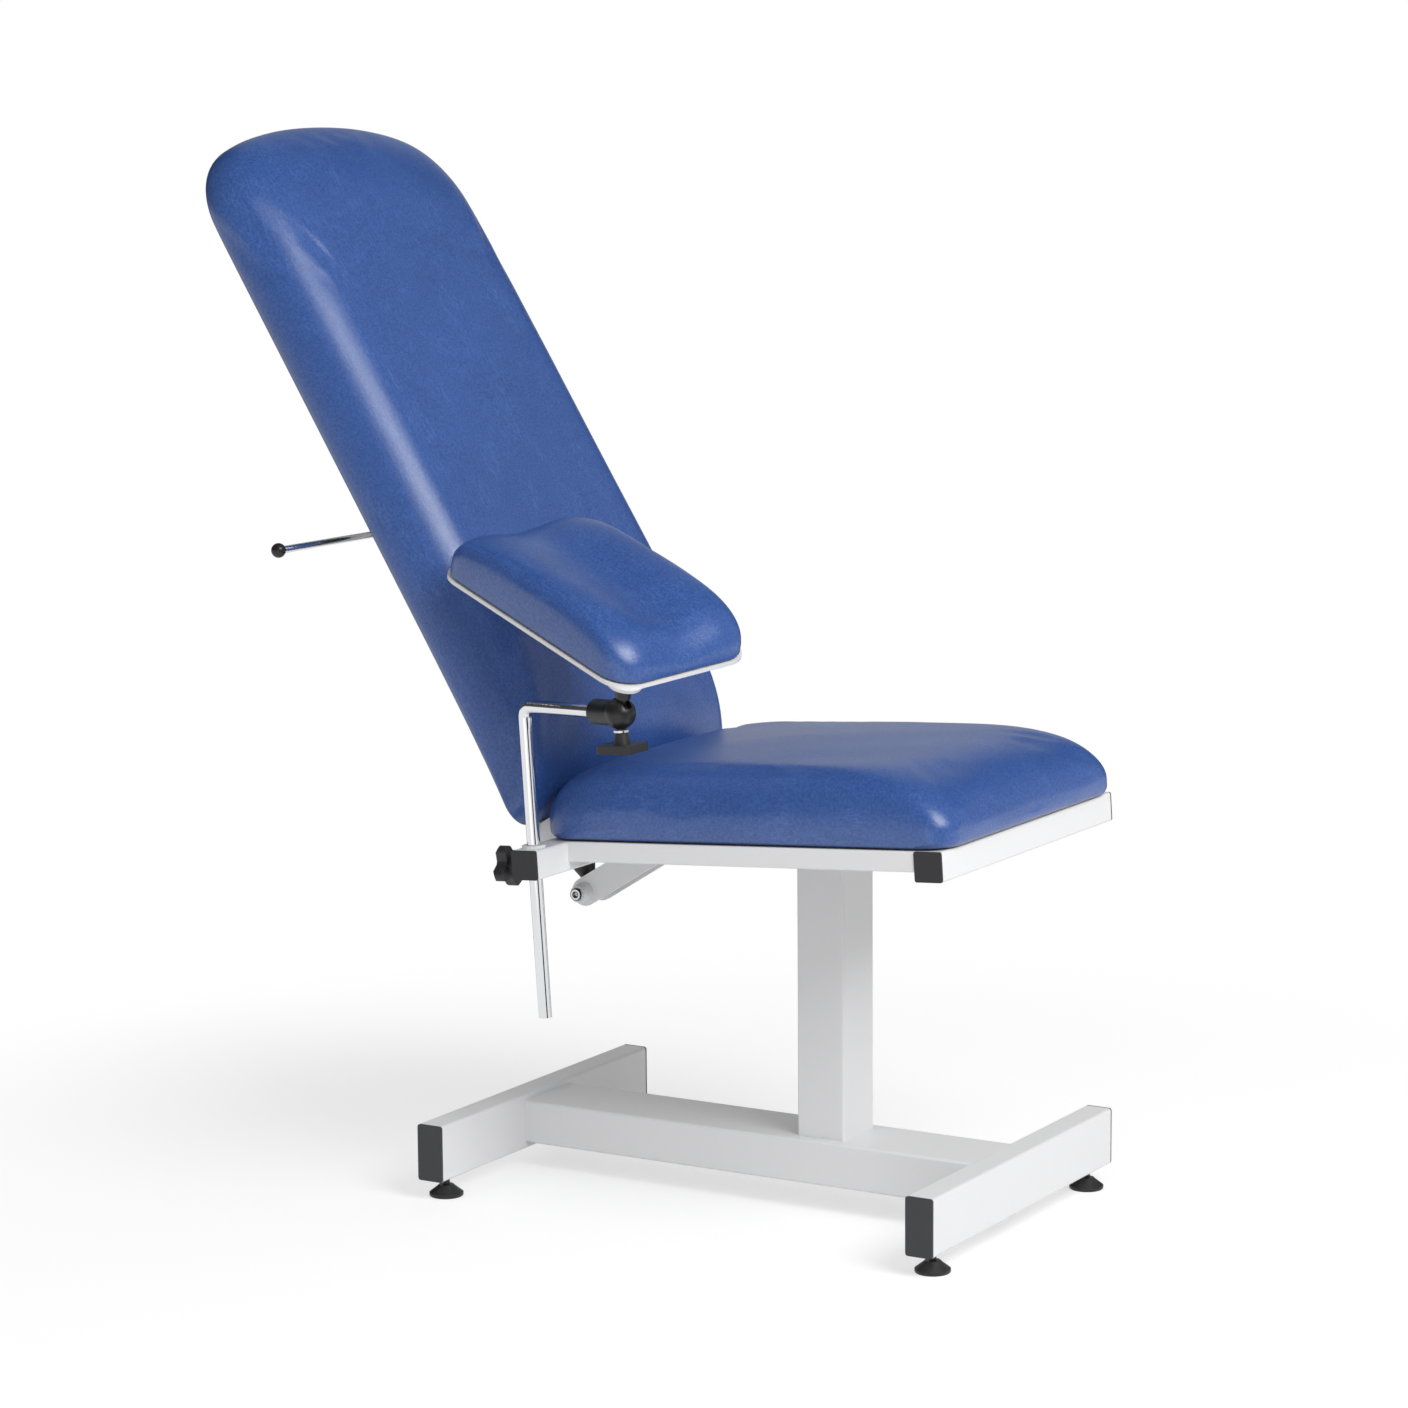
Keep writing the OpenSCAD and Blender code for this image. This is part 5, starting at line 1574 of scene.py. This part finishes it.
@dataclass
class Studio:
    """Floor, world, lamps and camera."""

    camera_place: Place = (-4812.5, -2751.9, 1532.5)
    camera_azimuth: float = -59.378
    camera_elevation: float = 8.61
    camera_roll: float = 0.411
    focal_pixels: float = 4064.77
    picture: int = 1408
    sensor: float = 36.0
    ambient: float = 0.51
    glow: float = 0.56
    glossy_base: float = 0.06
    lobe_power: float = 6.0
    glossy_lobes: tuple[tuple[Place, float], ...] = (
        ((0.85, 0.5, 0.12), 0.46), ((0.85, -0.42, 0.32), 0.29), ((-0.8, 0.5, -0.3), 0.22))
    card_dark: float = 0.93
    floor_size: float = 60.0
    floor_white: Colour = (0.88, 0.88, 0.88)
    floor_seen: Colour = (0.5, 0.5, 0.5)
    floor_roughness: float = 0.9
    fade_from: float = 0.75
    fade_to: float = 1.7
    lamps: tuple[Lamp, ...] = (
        Lamp("Key", (-1.41, -3.34, 3.61), (-0.1, 0.1, 0.8), 2.35, 157.0),
        Lamp("Low fill", (-3.4, -0.6, 0.7), (0, 0.1, 0.5), 2.0, 5.0),
    )

    def build(self) -> None:
        """Sets the whole studio up."""
        scene = bpy.context.scene
        scene.view_settings.view_transform = "Standard"
        self._camera(scene)
        self._world(scene)
        self._floor()
        for lamp in self.lamps:
            lamp.build()

    def _camera(self, scene: bpy.types.Scene) -> None:
        """Stands the camera where the photograph was taken from.

        Args:
            scene: The scene it films.
        """
        data = bpy.data.cameras.new("Camera")
        data.sensor_width = self.sensor
        data.lens = self.focal_pixels * self.sensor / self.picture
        data.clip_end = 100.0
        camera = bpy.data.objects.new("Camera", data)
        camera.matrix_world = (Matrix.Translation(Vector(self.camera_place) * MM)
                               @ turn("Z", self.camera_azimuth) @ turn("X", 90 - self.camera_elevation)
                               @ turn("Z", -self.camera_roll))
        scene.collection.objects.link(camera)
        scene.camera = camera

    def _world(self, scene: bpy.types.Scene) -> None:
        """White where the camera sees it, dimmer and flagged in reflections, soft light otherwise.

        Args:
            scene: The scene that gets the world.
        """
        world = bpy.data.worlds.new("Studio")
        world.use_nodes = True
        nodes = Nodes(world.node_tree)
        back = world.node_tree.nodes["Background"]
        back.inputs["Color"].default_value = (1, 1, 1, 1)
        rays = nodes.add("ShaderNodeLightPath")
        place = nodes.add("ShaderNodeTexCoord").outputs["Generated"]
        room: object = self.glossy_base
        for way, strength in self.glossy_lobes:
            facing = nodes.add("ShaderNodeVectorMath", operation="DOT_PRODUCT", Vector=place)
            facing.inputs[1].default_value = Vector(way).normalized()
            lobe = nodes.math("POWER", nodes.math("MAXIMUM", facing.outputs["Value"], 0.0), self.lobe_power)
            room = nodes.math("ADD", nodes.math("MULTIPLY", lobe, strength), room)
        flagged = nodes.math("MULTIPLY", room, self._lit(nodes, place))
        plain = nodes.pick(self._mirrored(nodes, rays), self.ambient, flagged)
        nodes.join(nodes.pick(rays.outputs["Is Camera Ray"], plain, 1.0), back.inputs["Strength"])
        scene.world = world

    def _mirrored(self, nodes: Nodes, rays: bpy.types.Node) -> Socket:
        """Mask of the rays that show the studio in metal and gloss."""
        return nodes.math("MAXIMUM", rays.outputs["Is Glossy Ray"], rays.outputs["Is Transmission Ray"])

    def _lit(self, nodes: Nodes, place: Socket) -> Socket:
        """Share of the light that the dark cards leave in a direction or at a place."""
        dark = nodes.group(GROUPS.flags, Place=place).outputs["Dark"]
        return nodes.math("SUBTRACT", 1.0, nodes.math("MULTIPLY", dark, self.card_dark))

    def _floor(self) -> None:
        """A white floor that runs into the background and keeps the chair's soft shadow."""
        half = self.floor_size / 2
        mesh = bpy.data.meshes.new("Studio_floor")
        corners = [(-half, -half, 0), (half, -half, 0), (half, half, 0), (-half, half, 0)]
        mesh.from_pydata(corners, [], [(0, 1, 2, 3)])
        floor = bpy.data.objects.new("Studio_floor", mesh)
        material, nodes, shader = Finish("Studio floor").open()
        rays = nodes.add("ShaderNodeLightPath")
        mirrored = self._mirrored(nodes, rays)
        seen = nodes.math("MAXIMUM", rays.outputs["Is Camera Ray"], mirrored)
        nodes.set(shader, Base_Color=nodes.blend(seen, self.floor_white, self.floor_seen),
                  Roughness=self.floor_roughness, Specular_IOR_Level=0.0, Emission_Color=(1, 1, 1, 1),
                  Emission_Strength=nodes.math("MULTIPLY", seen, self.glow))
        place = nodes.add("ShaderNodeTexCoord").outputs["Object"]
        reach = nodes.add("ShaderNodeVectorMath", operation="LENGTH", Vector=place)
        far = nodes.add("ShaderNodeMapRange", interpolation_type="SMOOTHSTEP",
                        Value=reach.outputs["Value"], From_Min=self.fade_from, From_Max=self.fade_to)
        white = nodes.add("ShaderNodeEmission", Strength=nodes.pick(mirrored, 1.0, self._lit(nodes, place)))
        mix = nodes.add("ShaderNodeMixShader", Fac=nodes.math("MULTIPLY", far.outputs["Result"], seen))
        nodes.join(shader.outputs[0], mix.inputs[1])
        nodes.join(white.outputs[0], mix.inputs[2])
        nodes.join(mix.outputs[0], material.node_tree.nodes["Material Output"].inputs["Surface"])
        mesh.materials.append(material)
        bpy.context.scene.collection.objects.link(floor)


def corners(box: tuple[Vector, Vector]) -> list[list[float]]:
    """A box's two corners as plain lists."""
    return [[float(value) for value in corner] for corner in box]


def main() -> None:
    """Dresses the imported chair."""
    logging.basicConfig(level=logging.INFO, format="%(name)s: %(message)s")
    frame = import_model()
    Studio().build()
    places = Places()
    finishes = Finishes(places)
    RigidPieces().dress(frame["nodes"], finishes)
    upholster([SeatCushion(places, finishes), BackCushion(places, finishes), PadCushion(places, finishes)])
    LiningStaples(places, finishes, "back_lining_staples").build()


if __name__ == "__main__":
    main()
